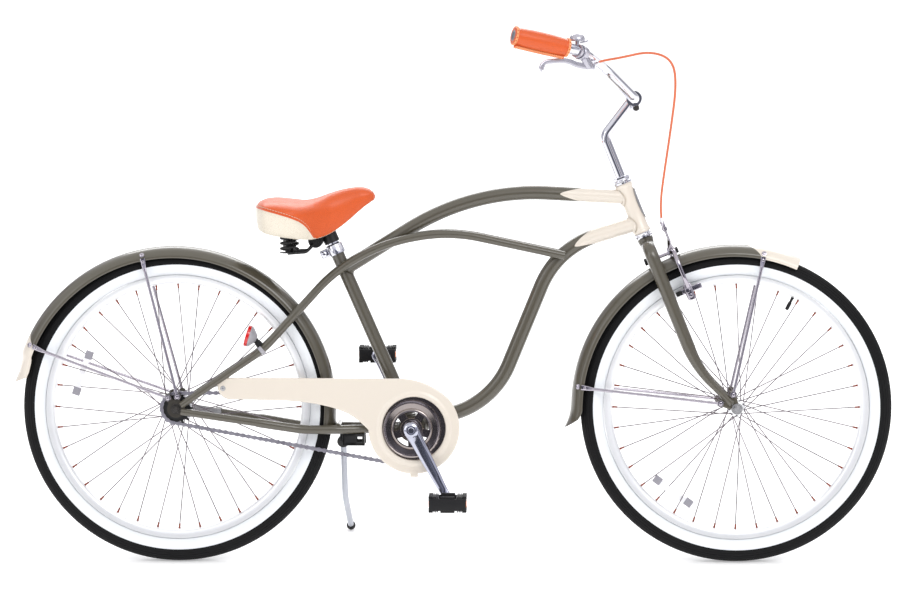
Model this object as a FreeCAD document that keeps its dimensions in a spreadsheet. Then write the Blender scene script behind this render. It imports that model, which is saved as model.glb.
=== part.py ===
import FreeCAD, Part
import math
import os

import Sketcher
from FreeCAD import Placement, Rotation, Vector

# A beach cruiser bicycle that leans on its side stand.
# Every piece is first placed on the upright bicycle: X forward from the rear axle, Y to the left,
# Z up from the ground line. One placement, STANCE, then leans the whole bicycle onto its stand.

document = FreeCAD.newDocument("beach_cruiser")
sheet = document.addObject("Spreadsheet::Sheet", "sizes")

# name, millimetres or degrees, what it measures
DIMENSIONS = [
    ("origin_ahead", 15, "shift of the whole bicycle to centre its box over the origin, forward"),
    ("origin_left", -204, "shift of the whole bicycle to centre its box over the origin, left"),
    ("wheelbase", 1195, "rear axle to front axle"),
    ("tyre_outer", 332.5, "outer radius of the tyres"),
    ("tyre_section", 27, "half the tyre's width"),
    ("tyre_seat", 4.5, "depth to which the rim's edge cuts into the tyre's round section"),
    ("rim_depth", 19, "rims, from their outer to their inner radius"),
    ("rim_half", 17, "half the rim's width"),
    ("spoke_count", 36, "spokes in each wheel"),
    ("spoke_radius", 1.1, "spoke wire"),
    ("spoke_lead", 48, "degrees that a spoke turns from flange to rim"),
    ("front_flange", 19, "radius of the front hub's flanges"),
    ("front_flange_half", 30, "mid-plane to the front flanges"),
    ("front_shell", 12, "radius of the front hub's shell"),
    ("rear_flange", 30, "radius of the coaster hub's flanges"),
    ("rear_flange_half", 29, "mid-plane to the rear flanges"),
    ("rear_shell", 22, "radius of the coaster hub's shell"),
    ("flange_thickness", 3, "hub flanges"),
    ("axle_radius", 4.76, "wheel axles"),
    ("bore_clearance", 0.05, "running clearance round a shaft"),
    ("seat_gap", 0.3, "clearance between pieces that rest on each other"),
    ("front_fork_half", 50, "mid-plane to the fork ends"),
    ("rear_fork_half", 58, "mid-plane to the rear dropouts"),
    ("axle_stub", 16, "axle beyond the dropout"),
    ("crank_x", 502, "bottom bracket ahead of the rear axle"),
    ("crank_z", 288, "bottom bracket above the ground line"),
    ("bracket_shell", 28, "radius of the bottom bracket shell"),
    ("bracket_half", 34, "half the bottom bracket's width"),
    ("seat_tube_radius", 14.3, "seat tube"),
    ("seat_tube_x", 506, "seat tube's axis at the bottom bracket's height"),
    ("seat_angle", 23.7, "seat tube from the vertical, degrees"),
    ("seat_tube_top", 674, "height of the seat tube's mouth"),
    ("post_radius", 12.7, "seat post"),
    ("post_top", 712, "height of the seat post's top"),
    ("top_tube_radius", 15, "top tube"),
    ("top_tube_seat_z", 627, "top tube's height on the seat tube"),
    ("top_tube_rise", 32, "top tube's slope at the seat tube, degrees"),
    ("top_tube_fall", 3, "top tube's slope down at the head tube, degrees"),
    ("top_tube_head_down", 30, "top tube below the head tube's upper end"),
    ("top_tube_bend", 650, "top tube's bend"),
    ("down_tube_radius", 15.9, "down tube"),
    ("down_tube_head_up", 34, "down tube above the lower headset, along the steering axis"),
    ("down_head_run", 182, "down tube's run at the head tube, to its corner"),
    ("down_head_slope", 16.9, "slope of that run, degrees"),
    ("down_head_bend", 230, "down tube's upper bend"),
    ("down_foot_run", 186, "down tube's run at the bottom bracket, to its corner"),
    ("down_foot_slope", 18.8, "slope of that run, degrees"),
    ("down_foot_bend", 180, "down tube's lower bend"),
    ("side_tube_radius", 9, "twin side tubes"),
    ("side_tube_y", 23, "side tubes beside the down tube and seat tube"),
    ("stay_radius", 9.5, "chain stays"),
    ("stay_tyre_y", 42.5, "chain stays beside the tyre"),
    ("head_tube_radius", 17, "head tube"),
    ("head_tube_bore", 14.5, "head tube's bore"),
    ("head_tube_length", 111, "head tube"),
    ("head_setback", 196, "lower headset behind the front axle"),
    ("head_foot_z", 695, "lower headset above the ground line"),
    ("head_angle", 21.9, "steering axis from the vertical, degrees"),
    ("cup_height", 12, "headset cup and race below and above the head tube"),
    ("steerer_radius", 12.7, "fork's steerer"),
    ("blade_y", 51, "fork blades from the mid-plane"),
    ("blade_top_radius", 13, "fork blade at the crown"),
    ("blade_end_radius", 8, "fork blade at the axle"),
    ("stem_radius", 11.1, "stem's bars"),
    ("bar_radius", 11.1, "handlebar"),
    ("stem_height", 232, "stem's elbow above the lower headset, along the steering axis"),
    ("stem_reach", 103, "stem's elbow to the handlebar clamp"),
    ("stem_rise", 52.4, "stem's upper run from level, degrees"),
    ("grip_radius", 17, "leather grips"),
    ("grip_length", 128, "leather grips"),
    ("fender_gap", 15.5, "tyre to the crown of the fenders"),
    ("fender_half", 33.5, "half the fender's width"),
    ("fender_drop", 25, "crown to the fender's lower edge"),
    ("fender_sheet", 1.2, "fender's sheet metal"),
    ("fender_stay_radius", 3, "fender stays"),
    ("cable_radius", 2.8, "brake cable's housing"),
    ("lever_radius", 5, "brake lever's blade"),
    ("pad_y", 22.2, "mid-plane to the brake pads' faces"),
    ("spindle_radius", 4.5, "pedal spindles"),
    ("ring_teeth", 40, "chainring teeth"),
    ("cog_teeth", 16, "rear cog teeth"),
    ("chain_pitch", 12.7, "chain pitch"),
    ("chain_y", 42, "chain line to the right of the mid-plane"),
    ("plate_height", 8.4, "chain plates"),
    ("plate_gap", 1.6, "half the gap between the chain's plates"),
    ("plate_thickness", 1.3, "chain plates"),
    ("guard_y", 53, "chain guard's inner face from the mid-plane"),
    ("guard_sheet", 1.5, "chain guard's sheet metal"),
    ("guard_radius", 97, "chain guard's disc"),
    ("guard_mouth", 67.5, "opening in the chain guard"),
    ("crank_length", 167, "crank arms"),
    ("crank_angle", -61.8, "right crank arm from straight ahead, degrees"),
    ("arm_y", 67.5, "crank arms at the axle, from the mid-plane"),
    ("arm_tip_y", 77, "crank arms at the pedal, from the mid-plane"),
    ("pedal_y", 134, "pedal centres from the mid-plane"),
    ("pedal_width", 84, "pedals across"),
    ("pedal_length", 79, "pedals along"),
    ("pedal_height", 27, "pedals"),
    ("stand_x", 352, "stand pivot ahead of the rear axle"),
    ("stand_y", 42, "stand pivot from the mid-plane"),
    ("stand_z", 257, "stand pivot above the ground line"),
    ("stand_axis_tilt", 18, "stand's hinge axis from level, degrees"),
    ("stand_pin_radius", 4, "stand's hinge pin"),
    ("stand_radius", 6.5, "stand's leg"),
    ("stand_knee_out", 34, "stand's bend from its pivot, outwards"),
    ("stand_knee_down", 127, "stand's bend from its pivot, down"),
    ("stand_knee_bend", 60, "stand's bend"),
    ("stand_foot_x", 360, "stand's foot ahead of the rear axle"),
    ("stand_foot_y", 212, "stand's foot from the mid-plane"),
    ("stand_foot_z", 49, "stand's foot above the ground line"),
    ("stand_foot_radius", 10, "rubber ball on the stand's foot"),
]

sheet.set("A1", "name")
sheet.set("B1", "size")
sheet.set("C1", "meaning")
for row, (alias, size, meaning) in enumerate(DIMENSIONS, start=2):
    sheet.set(f"A{row}", alias)
    sheet.set(f"B{row}", str(size))
    sheet.set(f"C{row}", meaning)
    sheet.setAlias(f"B{row}", alias)
document.recompute()


class Sizes:
    """Reads a size back from the sheet by its name."""

    def __getattr__(self, alias):
        return float(getattr(sheet, alias))


S = Sizes()
nodes = []


def lean_angle():
    """The lean at which both tyres and the stand's foot touch one floor."""
    level = (S.tyre_outer - S.tyre_section) + (S.stand_foot_z - S.tyre_outer)
    step = S.tyre_section - S.stand_foot_radius
    reach = math.hypot(S.stand_foot_y, level)
    return math.degrees(math.asin(step / reach) + math.atan2(level, S.stand_foot_y))


LEAN = lean_angle()
RING_CENTRE = S.tyre_outer - S.tyre_section
RIM_OUTER = RING_CENTRE - S.tyre_section + S.tyre_seat
RIM_INNER = RIM_OUTER - S.rim_depth


def stance():
    """Leans the upright bicycle to its left and sets its tyres on the floor."""
    turn = Placement(Vector(), Rotation(Vector(1, 0, 0), -LEAN))
    centre = turn.multVec(Vector(0, 0, S.tyre_outer))
    floor = RING_CENTRE * math.cos(math.radians(LEAN)) + S.tyre_section
    shift = Vector(S.origin_ahead - S.wheelbase / 2, S.origin_left, floor - centre.z)
    return Placement(shift, turn.Rotation)


STANCE = stance()


def node(item, label, place=None):
    """Names a finished piece and puts it on the leaning bicycle."""
    item.Label = label
    item.Placement = STANCE.multiply(place) if place else STANCE
    nodes.append(item)
    return item


def direct(label, shape):
    """A piece made by sweeps or lofts, set on the leaning bicycle."""
    item = document.addObject("Part::Feature", label)
    item.Shape = shape
    return node(item, label)


def facing(centre, direction):
    """A placement whose Z axis points along the given direction."""
    return Placement(centre, Rotation(Vector(0, 0, 1), direction))


def cylinder(name, radius, height, place):
    """A cylinder whose radius and height are bound to named sizes."""
    item = document.addObject("Part::Cylinder", name)
    item.setExpression("Radius", radius)
    item.setExpression("Height", height)
    item.Placement = place
    return item


def cut(name, base, tool):
    item = document.addObject("Part::Cut", name)
    item.Base = base
    item.Tool = tool
    return item


def rounded_path(points, radii):
    """Straight runs between the points, joined by tangent arcs of the given radii.

    An arc is no larger than its two runs have room for.
    """
    edges = []
    start = points[0]
    for before, corner, after, radius in zip(points, points[1:], points[2:], radii):
        back = (before - corner).normalize()
        ahead = (after - corner).normalize()
        half = back.getAngle(ahead) / 2
        room = 0.49 * min((before - corner).Length, (after - corner).Length)
        reach = min(radius / math.tan(half), room)
        bend = reach * math.tan(half)
        first = corner + back * reach
        last = corner + ahead * reach
        middle = corner + (back + ahead).normalize() * (bend / math.sin(half) - bend)
        if (first - start).Length > 0.01:
            edges.append(Part.LineSegment(start, first).toShape())
        edges.append(Part.Arc(first, middle, last).toShape())
        start = last
    if (points[-1] - start).Length > 0.01:
        edges.append(Part.LineSegment(start, points[-1]).toShape())
    return Part.Wire(edges)


def end_circle(path, radius, at_end=False):
    """A circle square to the path, at its start or its end."""
    edge = path.Edges[-1] if at_end else path.Edges[0]
    parameter = edge.LastParameter if at_end else edge.FirstParameter
    return Part.Wire(Part.makeCircle(radius, edge.valueAt(parameter), edge.tangentAt(parameter)))


def rod(path, radius):
    return path.makePipeShell([end_circle(path, radius)], True, False)


def tapered_rod(path, radius, end_radius):
    sweep = Part.BRepOffsetAPI.MakePipeShell(path)
    sweep.setFrenetMode(False)
    sweep.add(end_circle(path, radius))
    sweep.add(end_circle(path, end_radius, at_end=True))
    sweep.build()
    sweep.makeSolid()
    return sweep.shape()


def straight_rod(start, end, radius):
    run = end - start
    return Part.makeCylinder(radius, run.Length, start, run)


def disc(centre, direction, radius, thickness):
    """A disc centred on a point, square to the direction."""
    return Part.makeCylinder(radius, thickness, centre - direction * (thickness / 2), direction)


def across(radius, low, high, x, z):
    """A cylinder across the bicycle, from one Y to another."""
    return Part.makeCylinder(radius, high - low, Vector(x, low, z), Vector(0, 1, 0))


def turned(label, profile, place):
    """A turned piece: its half section, as radius and height pairs, is revolved about its axis.

    A coordinate is a number, or the name of a size that its constraint is bound to.
    """
    body = document.addObject("PartDesign::Body", label)
    plane = next(item for item in body.Origin.OriginFeatures if item.Role == "XZ_Plane")
    sketch = body.newObject("Sketcher::SketchObject", label + "_section")
    sketch.AttachmentSupport = [(plane, "")]
    sketch.MapMode = "FlatFace"
    corners = [[getattr(S, value) if isinstance(value, str) else value for value in pair]
               for pair in profile]
    count = len(corners)
    for index in range(count):
        start = Vector(corners[index][0], corners[index][1], 0)
        end = Vector(corners[(index + 1) % count][0], corners[(index + 1) % count][1], 0)
        sketch.addGeometry(Part.LineSegment(start, end))
    for index in range(count):
        sketch.addConstraint(Sketcher.Constraint("Coincident", index, 2, (index + 1) % count, 1))
        for side, kind in enumerate(("DistanceX", "DistanceY")):
            value = profile[index][side]
            sketch.addConstraint(Sketcher.Constraint(kind, -1, 1, index, 1, corners[index][side]))
            if isinstance(value, str):
                sketch.setExpression(f"Constraints[{sketch.ConstraintCount - 1}]", "sizes." + value)
    revolution = body.newObject("PartDesign::Revolution", label + "_turned")
    revolution.Profile = sketch
    revolution.ReferenceAxis = (sketch, ["V_Axis"])
    revolution.Angle = 360
    sketch.Visibility = False
    return node(body, label, place)


def polar(radius, degrees, centre=Vector()):
    """A point in the bicycle's mid-plane, at an angle from straight ahead."""
    angle = math.radians(degrees)
    return centre + Vector(radius * math.cos(angle), 0, radius * math.sin(angle))


REAR_AXLE = Vector(0, 0, S.tyre_outer)
FRONT_AXLE = Vector(S.wheelbase, 0, S.tyre_outer)
CRANK_AXLE = Vector(S.crank_x, 0, S.crank_z)
ACROSS = Vector(0, 1, 0)
HEAD_FOOT = Vector(S.wheelbase - S.head_setback, 0, S.head_foot_z)
FENDER_RADIUS = S.tyre_outer + S.fender_gap
STEER_UP = Vector(-math.sin(math.radians(S.head_angle)), 0, math.cos(math.radians(S.head_angle)))
SEAT_UP = Vector(-math.sin(math.radians(S.seat_angle)), 0, math.cos(math.radians(S.seat_angle)))
SEAT_FOOT = Vector(S.seat_tube_x, 0, S.crank_z)


def on_seat_tube(height):
    """The point of the seat tube's axis at a height above the ground line."""
    return SEAT_FOOT + SEAT_UP * ((height - S.crank_z) / SEAT_UP.z)


def mirrored(point):
    return Vector(point.x, -point.y, point.z)


# Wheels

TYRE_CORNERS = 11


def tyre(label, axle):
    """A balloon tyre: a round section, open on the rim side."""
    seat = RIM_OUTER + S.seat_gap
    dip = math.degrees(math.acos((RING_CENTRE - seat) / S.tyre_section))
    profile = []
    for index in range(TYRE_CORNERS):
        angle = math.radians(-(180 - dip) + 2 * (180 - dip) * index / (TYRE_CORNERS - 1))
        profile.append((RING_CENTRE + S.tyre_section * math.cos(angle),
                        S.tyre_section * math.sin(angle)))
    return turned(label, profile, facing(axle, ACROSS))


def rim(label, axle):
    """A wide rim: a hooked channel over a rounded spoke bed."""
    lip = RIM_OUTER - 7
    profile = [(RIM_OUTER, "rim_half"), (RIM_INNER + 6, S.rim_half - 2),
               (RIM_INNER, S.rim_half - 9), (RIM_INNER, -(S.rim_half - 9)),
               (RIM_INNER + 6, -(S.rim_half - 2)), (RIM_OUTER, -S.rim_half),
               (RIM_OUTER, -(S.rim_half - 3)), (lip, -(S.rim_half - 5)),
               (lip, S.rim_half - 5), (RIM_OUTER, S.rim_half - 3)]
    return turned(label, profile, facing(axle, ACROSS))


def spokes(label, axle, flange, flange_half):
    """Spokes laced from both flanges, leading and trailing in turn, to a rim bed."""
    pieces = []
    count = int(S.spoke_count)
    for index in range(count):
        side = 1 if index % 2 else -1
        turn = 1 if (index // 2) % 2 else -1
        rim_angle = 360 * index / count
        hub_point = polar(flange - 2.5, rim_angle + turn * S.spoke_lead, axle)
        hub_point.y = side * (flange_half + turn * 2.9)
        rim_point = polar(RIM_INNER - S.seat_gap, rim_angle, axle)
        rim_point.y = side * 4
        pieces.append(straight_rod(hub_point, rim_point, S.spoke_radius))
    return direct(label, Part.makeCompound(pieces))


def hub(label, axle, flange, flange_half, shell, half_width):
    """A hub shell with two flanges, bored for its axle."""
    bore = S.axle_radius + S.bore_clearance
    inner = flange_half - S.flange_thickness / 2
    outer = flange_half + S.flange_thickness / 2
    profile = [(bore, -half_width), (bore, half_width), (10, half_width), (12, outer + 3),
               (shell, outer), (flange, outer), (flange, inner), (shell, inner),
               (shell, -inner), (flange, -inner), (flange, -outer), (shell, -outer),
               (12, -outer - 3), (10, -half_width)]
    return turned(label, profile, facing(axle, ACROSS))


def axle_with_nuts(label, axle, fork_half, washer):
    """An axle that runs through the hub, its cone nuts, and the nuts outside the fork ends."""
    reach = fork_half + S.axle_stub
    pieces = [across(S.axle_radius, -reach, reach, axle.x, axle.z)]
    for side in (-1, 1):
        outside = Vector(axle.x, side * (fork_half + washer), axle.z)
        hexagon = [outside + Vector(8.5 * math.cos(math.radians(60 * step)), 0,
                                    8.5 * math.sin(math.radians(60 * step))) for step in range(7)]
        pieces.append(Part.Face(Part.makePolygon(hexagon)).extrude(Vector(0, side * 8, 0)))
        inside = Vector(axle.x, side * (fork_half - washer), axle.z)
        pieces.append(Part.makeCylinder(9, 5, inside, Vector(0, -side, 0)))
    solid = pieces[0].multiFuse(pieces[1:])
    return direct(label, solid)


tyre("rear_tyre", REAR_AXLE)
tyre("front_tyre", FRONT_AXLE)
rim("rear_rim", REAR_AXLE)
rim("front_rim", FRONT_AXLE)
spokes("rear_spokes", REAR_AXLE, S.rear_flange, S.rear_flange_half)
spokes("front_spokes", FRONT_AXLE, S.front_flange, S.front_flange_half)
hub("rear_hub", REAR_AXLE, S.rear_flange, S.rear_flange_half, S.rear_shell, 36)
hub("front_hub", FRONT_AXLE, S.front_flange, S.front_flange_half, S.front_shell, 38)
axle_with_nuts("rear_axle", REAR_AXLE, S.rear_fork_half, 4)
axle_with_nuts("front_axle", FRONT_AXLE, S.front_fork_half, 4)


# Frame

def bracket_shell():
    shell = cylinder("bracket_outside", "sizes.bracket_shell", "2 * sizes.bracket_half",
                     facing(CRANK_AXLE - ACROSS * S.bracket_half, ACROSS))
    bore = cylinder("bracket_bore", "sizes.bracket_shell - 5", "2 * sizes.bracket_half",
                    facing(CRANK_AXLE - ACROSS * S.bracket_half, ACROSS))
    return node(cut("bracket_shell", shell, bore), "bottom_bracket")


def head_tube():
    start = HEAD_FOOT + STEER_UP * S.cup_height
    outside = cylinder("head_outside", "sizes.head_tube_radius", "sizes.head_tube_length",
                       facing(start, STEER_UP))
    bore = cylinder("head_bore", "sizes.head_tube_bore", "sizes.head_tube_length",
                    facing(start, STEER_UP))
    return node(cut("head_shell", outside, bore), "head_tube")


bracket_shell()
head_tube()

bracket_solid = across(S.bracket_shell, -S.bracket_half, S.bracket_half, S.crank_x, S.crank_z)
head_solid = straight_rod(HEAD_FOOT, HEAD_FOOT + STEER_UP * (S.head_tube_length + 2 * S.cup_height),
                          S.head_tube_radius)
seat_solid = straight_rod(SEAT_FOOT, on_seat_tube(S.seat_tube_top), S.seat_tube_radius)

seat_bore = straight_rod(on_seat_tube(S.seat_tube_top - 130), on_seat_tube(S.seat_tube_top + 5),
                         S.post_radius + S.bore_clearance)
direct("seat_tube", seat_solid.cut(bracket_solid).cut(seat_bore))


def meet(start, start_angle, end, end_angle):
    """Where two lines of the mid-plane cross, each given by a point and its angle."""
    first = polar(1, start_angle)
    second = polar(1, end_angle)
    gap = end - start
    along = (gap.x * second.z - gap.z * second.x) / (first.x * second.z - first.z * second.x)
    return start + first * along


def at_side(y, point):
    return Vector(point.x, y, point.z)


top_start = on_seat_tube(S.top_tube_seat_z)
HEAD_TOP = S.cup_height + S.head_tube_length
top_end = HEAD_FOOT + STEER_UP * (HEAD_TOP - S.top_tube_head_down)
top_corner = meet(top_start, S.top_tube_rise, top_end, -S.top_tube_fall)
top_tube_solid = rod(rounded_path([top_start, top_corner, top_end], [S.top_tube_bend]),
                     S.top_tube_radius)
direct("top_tube", top_tube_solid.cut(seat_solid).cut(head_solid))

down_start = HEAD_FOOT + STEER_UP * S.down_tube_head_up
down_high = polar(S.down_head_run, 180 + S.down_head_slope, down_start)
down_low = polar(S.down_foot_run, S.down_foot_slope, CRANK_AXLE)
down_tube_solid = rod(rounded_path([down_start, down_high, down_low, CRANK_AXLE],
                                   [S.down_head_bend, S.down_foot_bend]), S.down_tube_radius)
direct("down_tube", down_tube_solid.cut(bracket_solid).cut(head_solid).cut(seat_solid)
       .cut(top_tube_solid))

DROPOUT_RADIUS = 19
DROPOUT_THICKNESS = 6
side_pass = on_seat_tube(S.top_tube_seat_z + 1) + Vector(-17, 0, 0)
side_flare = side_pass + Vector(-82, 0, -90)
SIDE_TUBE_POINTS = [at_side(S.side_tube_y + 1, down_high + Vector(16, 0, -16)),
                    at_side(S.side_tube_y + 1, down_high + Vector(-229, 0, 36)),
                    at_side(S.side_tube_y + 1, side_pass + Vector(111, 0, 59)),
                    at_side(S.side_tube_y, side_pass), at_side(46, side_flare),
                    at_side(53, REAR_AXLE + Vector(183.5, 0, 124)),
                    at_side(S.rear_fork_half, REAR_AXLE + Vector(10, 0, 7))]
SIDE_TUBE_BENDS = [380, 380, 300, 120, 260]
STAY_POINTS = [at_side(S.rear_fork_half, REAR_AXLE + Vector(10, 0, -6)),
               at_side(53, REAR_AXLE + Vector(180, 0, -31.5)),
               at_side(S.stay_tyre_y, REAR_AXLE + Vector(270, 0, -46)),
               at_side(S.stay_tyre_y, CRANK_AXLE + Vector(-162, 0, -1.5)),
               at_side(25.5, CRANK_AXLE + Vector(-86, 0, -1)),
               at_side(21, CRANK_AXLE)]
STAY_BENDS = [300, 200, 110, 110]
STAY_EYES = [Vector(-17, 0, 23.7), Vector(3, 0, 26.5)]
EYE_RADIUS = 8


def eyelet_plate(axle, half, eyes, radius, thickness):
    """A fork end: a round plate at the axle, with an eyelet for each fender stay."""
    plate = disc(at_side(half, axle), ACROSS, radius, thickness)
    for eye in eyes:
        plate = plate.fuse(disc(at_side(half, axle + eye), ACROSS, EYE_RADIUS, thickness))
        neck = Part.makeBox(eye.Length, thickness, 1.6 * EYE_RADIUS,
                            Vector(0, -thickness / 2, -0.8 * EYE_RADIUS))
        neck.Placement = Placement(at_side(half, axle), Rotation(Vector(1, 0, 0), eye))
        plate = plate.fuse(neck)
    return plate.cut(across(S.axle_radius + S.seat_gap, -90, 90, axle.x, axle.z))


side_tubes = {}
chain_stays = {}
GUARD_TAB = Part.makeBox(16, 2.4, 16, Vector(79, -S.guard_y - 0.2, S.tyre_outer + 45.5))
for side, word in ((-1, "right"), (1, "left")):
    def on_side(points):
        return [point if side > 0 else mirrored(point) for point in points]

    plate = eyelet_plate(REAR_AXLE, side * S.rear_fork_half, STAY_EYES, DROPOUT_RADIUS,
                         DROPOUT_THICKNESS)
    hole = disc(at_side(side * S.rear_fork_half, REAR_AXLE), ACROSS, DROPOUT_RADIUS,
                3 * S.side_tube_radius)
    side_tube = rod(rounded_path(on_side(SIDE_TUBE_POINTS), SIDE_TUBE_BENDS), S.side_tube_radius)
    if side < 0:
        side_tube = side_tube.fuse(GUARD_TAB)
    side_tube = side_tube.cut(down_tube_solid).cut(seat_solid).cut(top_tube_solid).cut(hole)
    solids = sorted(side_tube.Solids, key=lambda solid: solid.Volume)
    side_tube = solids[-1]
    stay = rod(rounded_path(on_side(STAY_POINTS), STAY_BENDS), S.stay_radius)
    stay = stay.cut(bracket_solid).cut(side_tube).cut(hole)
    stay = sorted(stay.Solids, key=lambda solid: solid.Volume)[-1]
    side_tubes[word] = side_tube
    chain_stays[word] = stay
    direct(f"side_tube_{word}", side_tube)
    direct(f"chain_stay_{word}", stay)
    direct(f"dropout_{word}", plate)

# Bridges, cups and brackets on the frame

FENDER_HOLD = REAR_AXLE + Vector(-8.5, 0, -3)
BRIDGE_RADIUS = 6.5
hold_reach = FENDER_RADIUS + BRIDGE_RADIUS + S.seat_gap


def on_circle(start, end, centre, radius):
    """Where the run from start to end crosses a circle of the mid-plane."""
    run = Vector(end.x - start.x, 0, end.z - start.z)
    gap = Vector(start.x - centre.x, 0, start.z - centre.z)
    a = run.dot(run)
    b = 2 * run.dot(gap)
    c = gap.dot(gap) - radius * radius
    along = (-b - math.sqrt(b * b - 4 * a * c)) / (2 * a)
    return start + (end - start) * along


def bridge(at, low, high):
    beam = across(BRIDGE_RADIUS, low, high, at.x, at.z)
    for tubes in (side_tubes, chain_stays):
        for tube in tubes.values():
            beam = beam.cut(tube)
    return max(beam.Solids, key=lambda solid: solid.Volume)


upper_hold = on_circle(SIDE_TUBE_POINTS[3], SIDE_TUBE_POINTS[4], FENDER_HOLD, hold_reach)
lower_hold = polar(hold_reach, -5.8, FENDER_HOLD)
direct("frame_bridges", Part.makeCompound([bridge(upper_hold, -upper_hold.y, upper_hold.y),
                                           bridge(lower_hold, -S.stay_tyre_y, S.stay_tyre_y)]))

cups = []
for low in (-S.bracket_half, S.bracket_half - 8):
    cup = across(S.bracket_shell - 5, low, low + 8, S.crank_x, S.crank_z)
    cups.append(cup.cut(across(8.5 + S.bore_clearance, low, low + 8, S.crank_x, S.crank_z)))
direct("bracket_cups", Part.makeCompound(cups))

BADGE_LENGTH = 58
BADGE_WIDTH = 24
badge_low = HEAD_TOP - S.head_tube_length / 2 - BADGE_LENGTH / 2
badge = straight_rod(HEAD_FOOT + STEER_UP * badge_low, HEAD_FOOT + STEER_UP * (badge_low + BADGE_LENGTH),
                     S.head_tube_radius + 1.4)
badge = badge.cut(head_solid)
window = Part.makeBox(2 * S.head_tube_radius, BADGE_WIDTH, BADGE_LENGTH,
                      Vector(4, -BADGE_WIDTH / 2, badge_low))
window.Placement = Placement(HEAD_FOOT, Rotation(Vector(0, 0, 1), STEER_UP)).multiply(
    window.Placement)
direct("head_badge", badge.common(window))

# Coaster brake arm with its strap round the left chain stay

ARM_Y = S.rear_fork_half - 15
strap_start = STAY_POINTS[0]
strap_end = STAY_POINTS[1]
strap_at = strap_start + (strap_end - strap_start) * 0.42
strap_way = (strap_end - strap_start).normalize()
strap = disc(strap_at, strap_way, S.stay_radius + 2.5, 12)
strap = strap.cut(disc(strap_at, strap_way, S.stay_radius + S.seat_gap, 14))
arm_end = Vector(strap_at.x, 0, strap_at.z)
arm_run = arm_end - REAR_AXLE
arm_plate = Part.makeBox(arm_run.Length, 3, 14, Vector(0, ARM_Y - 1.5, -7))
arm_plate.Placement = Placement(REAR_AXLE, Rotation(Vector(1, 0, 0), arm_run)).multiply(
    arm_plate.Placement)
coaster = across(15, ARM_Y - 1.5, ARM_Y + 1.5, 0, S.tyre_outer).fuse(arm_plate)
coaster = coaster.fuse(across(7, ARM_Y - 1.5, ARM_Y + 1.5, arm_end.x, arm_end.z))
coaster = coaster.fuse(strap)
coaster = coaster.cut(across(S.axle_radius + S.seat_gap, 20, 90, 0, S.tyre_outer))
coaster = coaster.cut(disc(strap_at, strap_way, S.stay_radius + S.seat_gap, 40))
direct("coaster_arm", max(coaster.Solids, key=lambda solid: solid.Volume))

# Rear reflector, clamped on the right side tube

tail_path = rounded_path([mirrored(point) for point in SIDE_TUBE_POINTS], SIDE_TUBE_BENDS)
tail_bend = tail_path.Edges[-2]
bend_middle = (tail_bend.FirstParameter + tail_bend.LastParameter) / 2
clamp_at = tail_bend.valueAt(bend_middle)
tail_way = tail_bend.tangentAt(bend_middle)
LENS_CENTRE = clamp_at + Vector(-30, -2, 28)
LENS_WAY = Vector(-0.958, 0, 0.288).normalize()
housing = Part.makeCone(20, 23, 9, LENS_CENTRE, LENS_WAY)
housing = housing.fuse(Part.makeCylinder(21, 3, LENS_CENTRE + LENS_WAY * 9, LENS_WAY))
housing = housing.fuse(straight_rod(clamp_at + Vector(-3, 0, 9), LENS_CENTRE + LENS_WAY * 3, 4))
band = disc(clamp_at, tail_way, S.side_tube_radius + 2.5, 12)
housing = housing.fuse(band).cut(rod(tail_path, S.side_tube_radius + S.seat_gap))
direct("rear_reflector", max(housing.Solids, key=lambda solid: solid.Volume))

# Seat post, saddle

post = straight_rod(on_seat_tube(S.seat_tube_top - 125), on_seat_tube(S.post_top), S.post_radius)
direct("seat_post", post)
collar_low = on_seat_tube(S.seat_tube_top - 14)
collar_high = on_seat_tube(S.seat_tube_top + 8)
collar = straight_rod(collar_low, collar_high, S.seat_tube_radius + 4)
ear = Part.makeBox(20, 16, 18, Vector(-34, -8, 2))
ear.Placement = Placement(collar_low, Rotation(Vector(0, 0, 1), SEAT_UP)).multiply(ear.Placement)
collar = collar.fuse(ear)
collar = collar.cut(straight_rod(collar_low, on_seat_tube(S.seat_tube_top), S.seat_tube_radius))
collar = collar.cut(straight_rod(collar_low, collar_high, S.post_radius + S.bore_clearance))
direct("seat_clamp", collar)

# Behind the seat post's top, half width, and the heights of the crown, the widest edge and the
# underside above the seat post's top
SADDLE_SECTIONS = [
    (-149, 70, 58, 47, 18),
    (-120, 112, 69, 42, -5),
    (-70, 114, 66, 36, -12),
    (-20, 72, 67, 32, -17),
    (25, 38, 80, 38, 2),
    (75, 27, 94, 65, 46),
    (103, 15, 85, 77, 68),
]
SADDLE_WALL = 0.74
SADDLE_PAN = 32
SADDLE_BASE = on_seat_tube(S.post_top)


def saddle_section(station, half, crown, edge, under):
    base = SADDLE_BASE + Vector(station, 0, 0)
    left = base + Vector(0, half, edge)
    right = base + Vector(0, -half, edge)
    low_left = base + Vector(0, half * 0.86, under)
    low_right = base + Vector(0, -half * 0.86, under)
    return Part.Wire([Part.Arc(right, base + Vector(0, 0, crown), left).toShape(),
                      Part.LineSegment(left, low_left).toShape(),
                      Part.LineSegment(low_left, low_right).toShape(),
                      Part.LineSegment(low_right, right).toShape()])


def pan_section(station, half, crown, edge, under):
    """The hollow under the saddle at a station of its table."""
    base = SADDLE_BASE + Vector(station, 0, 0)
    width = half * SADDLE_WALL
    return Part.makePolygon([base + Vector(0, y, z) for y, z in (
        (width, under - 20), (width, under + SADDLE_PAN * 0.6), (width * 0.5, under + SADDLE_PAN),
        (-width * 0.5, under + SADDLE_PAN), (-width, under + SADDLE_PAN * 0.6),
        (-width, under - 20), (width, under - 20))])


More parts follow.
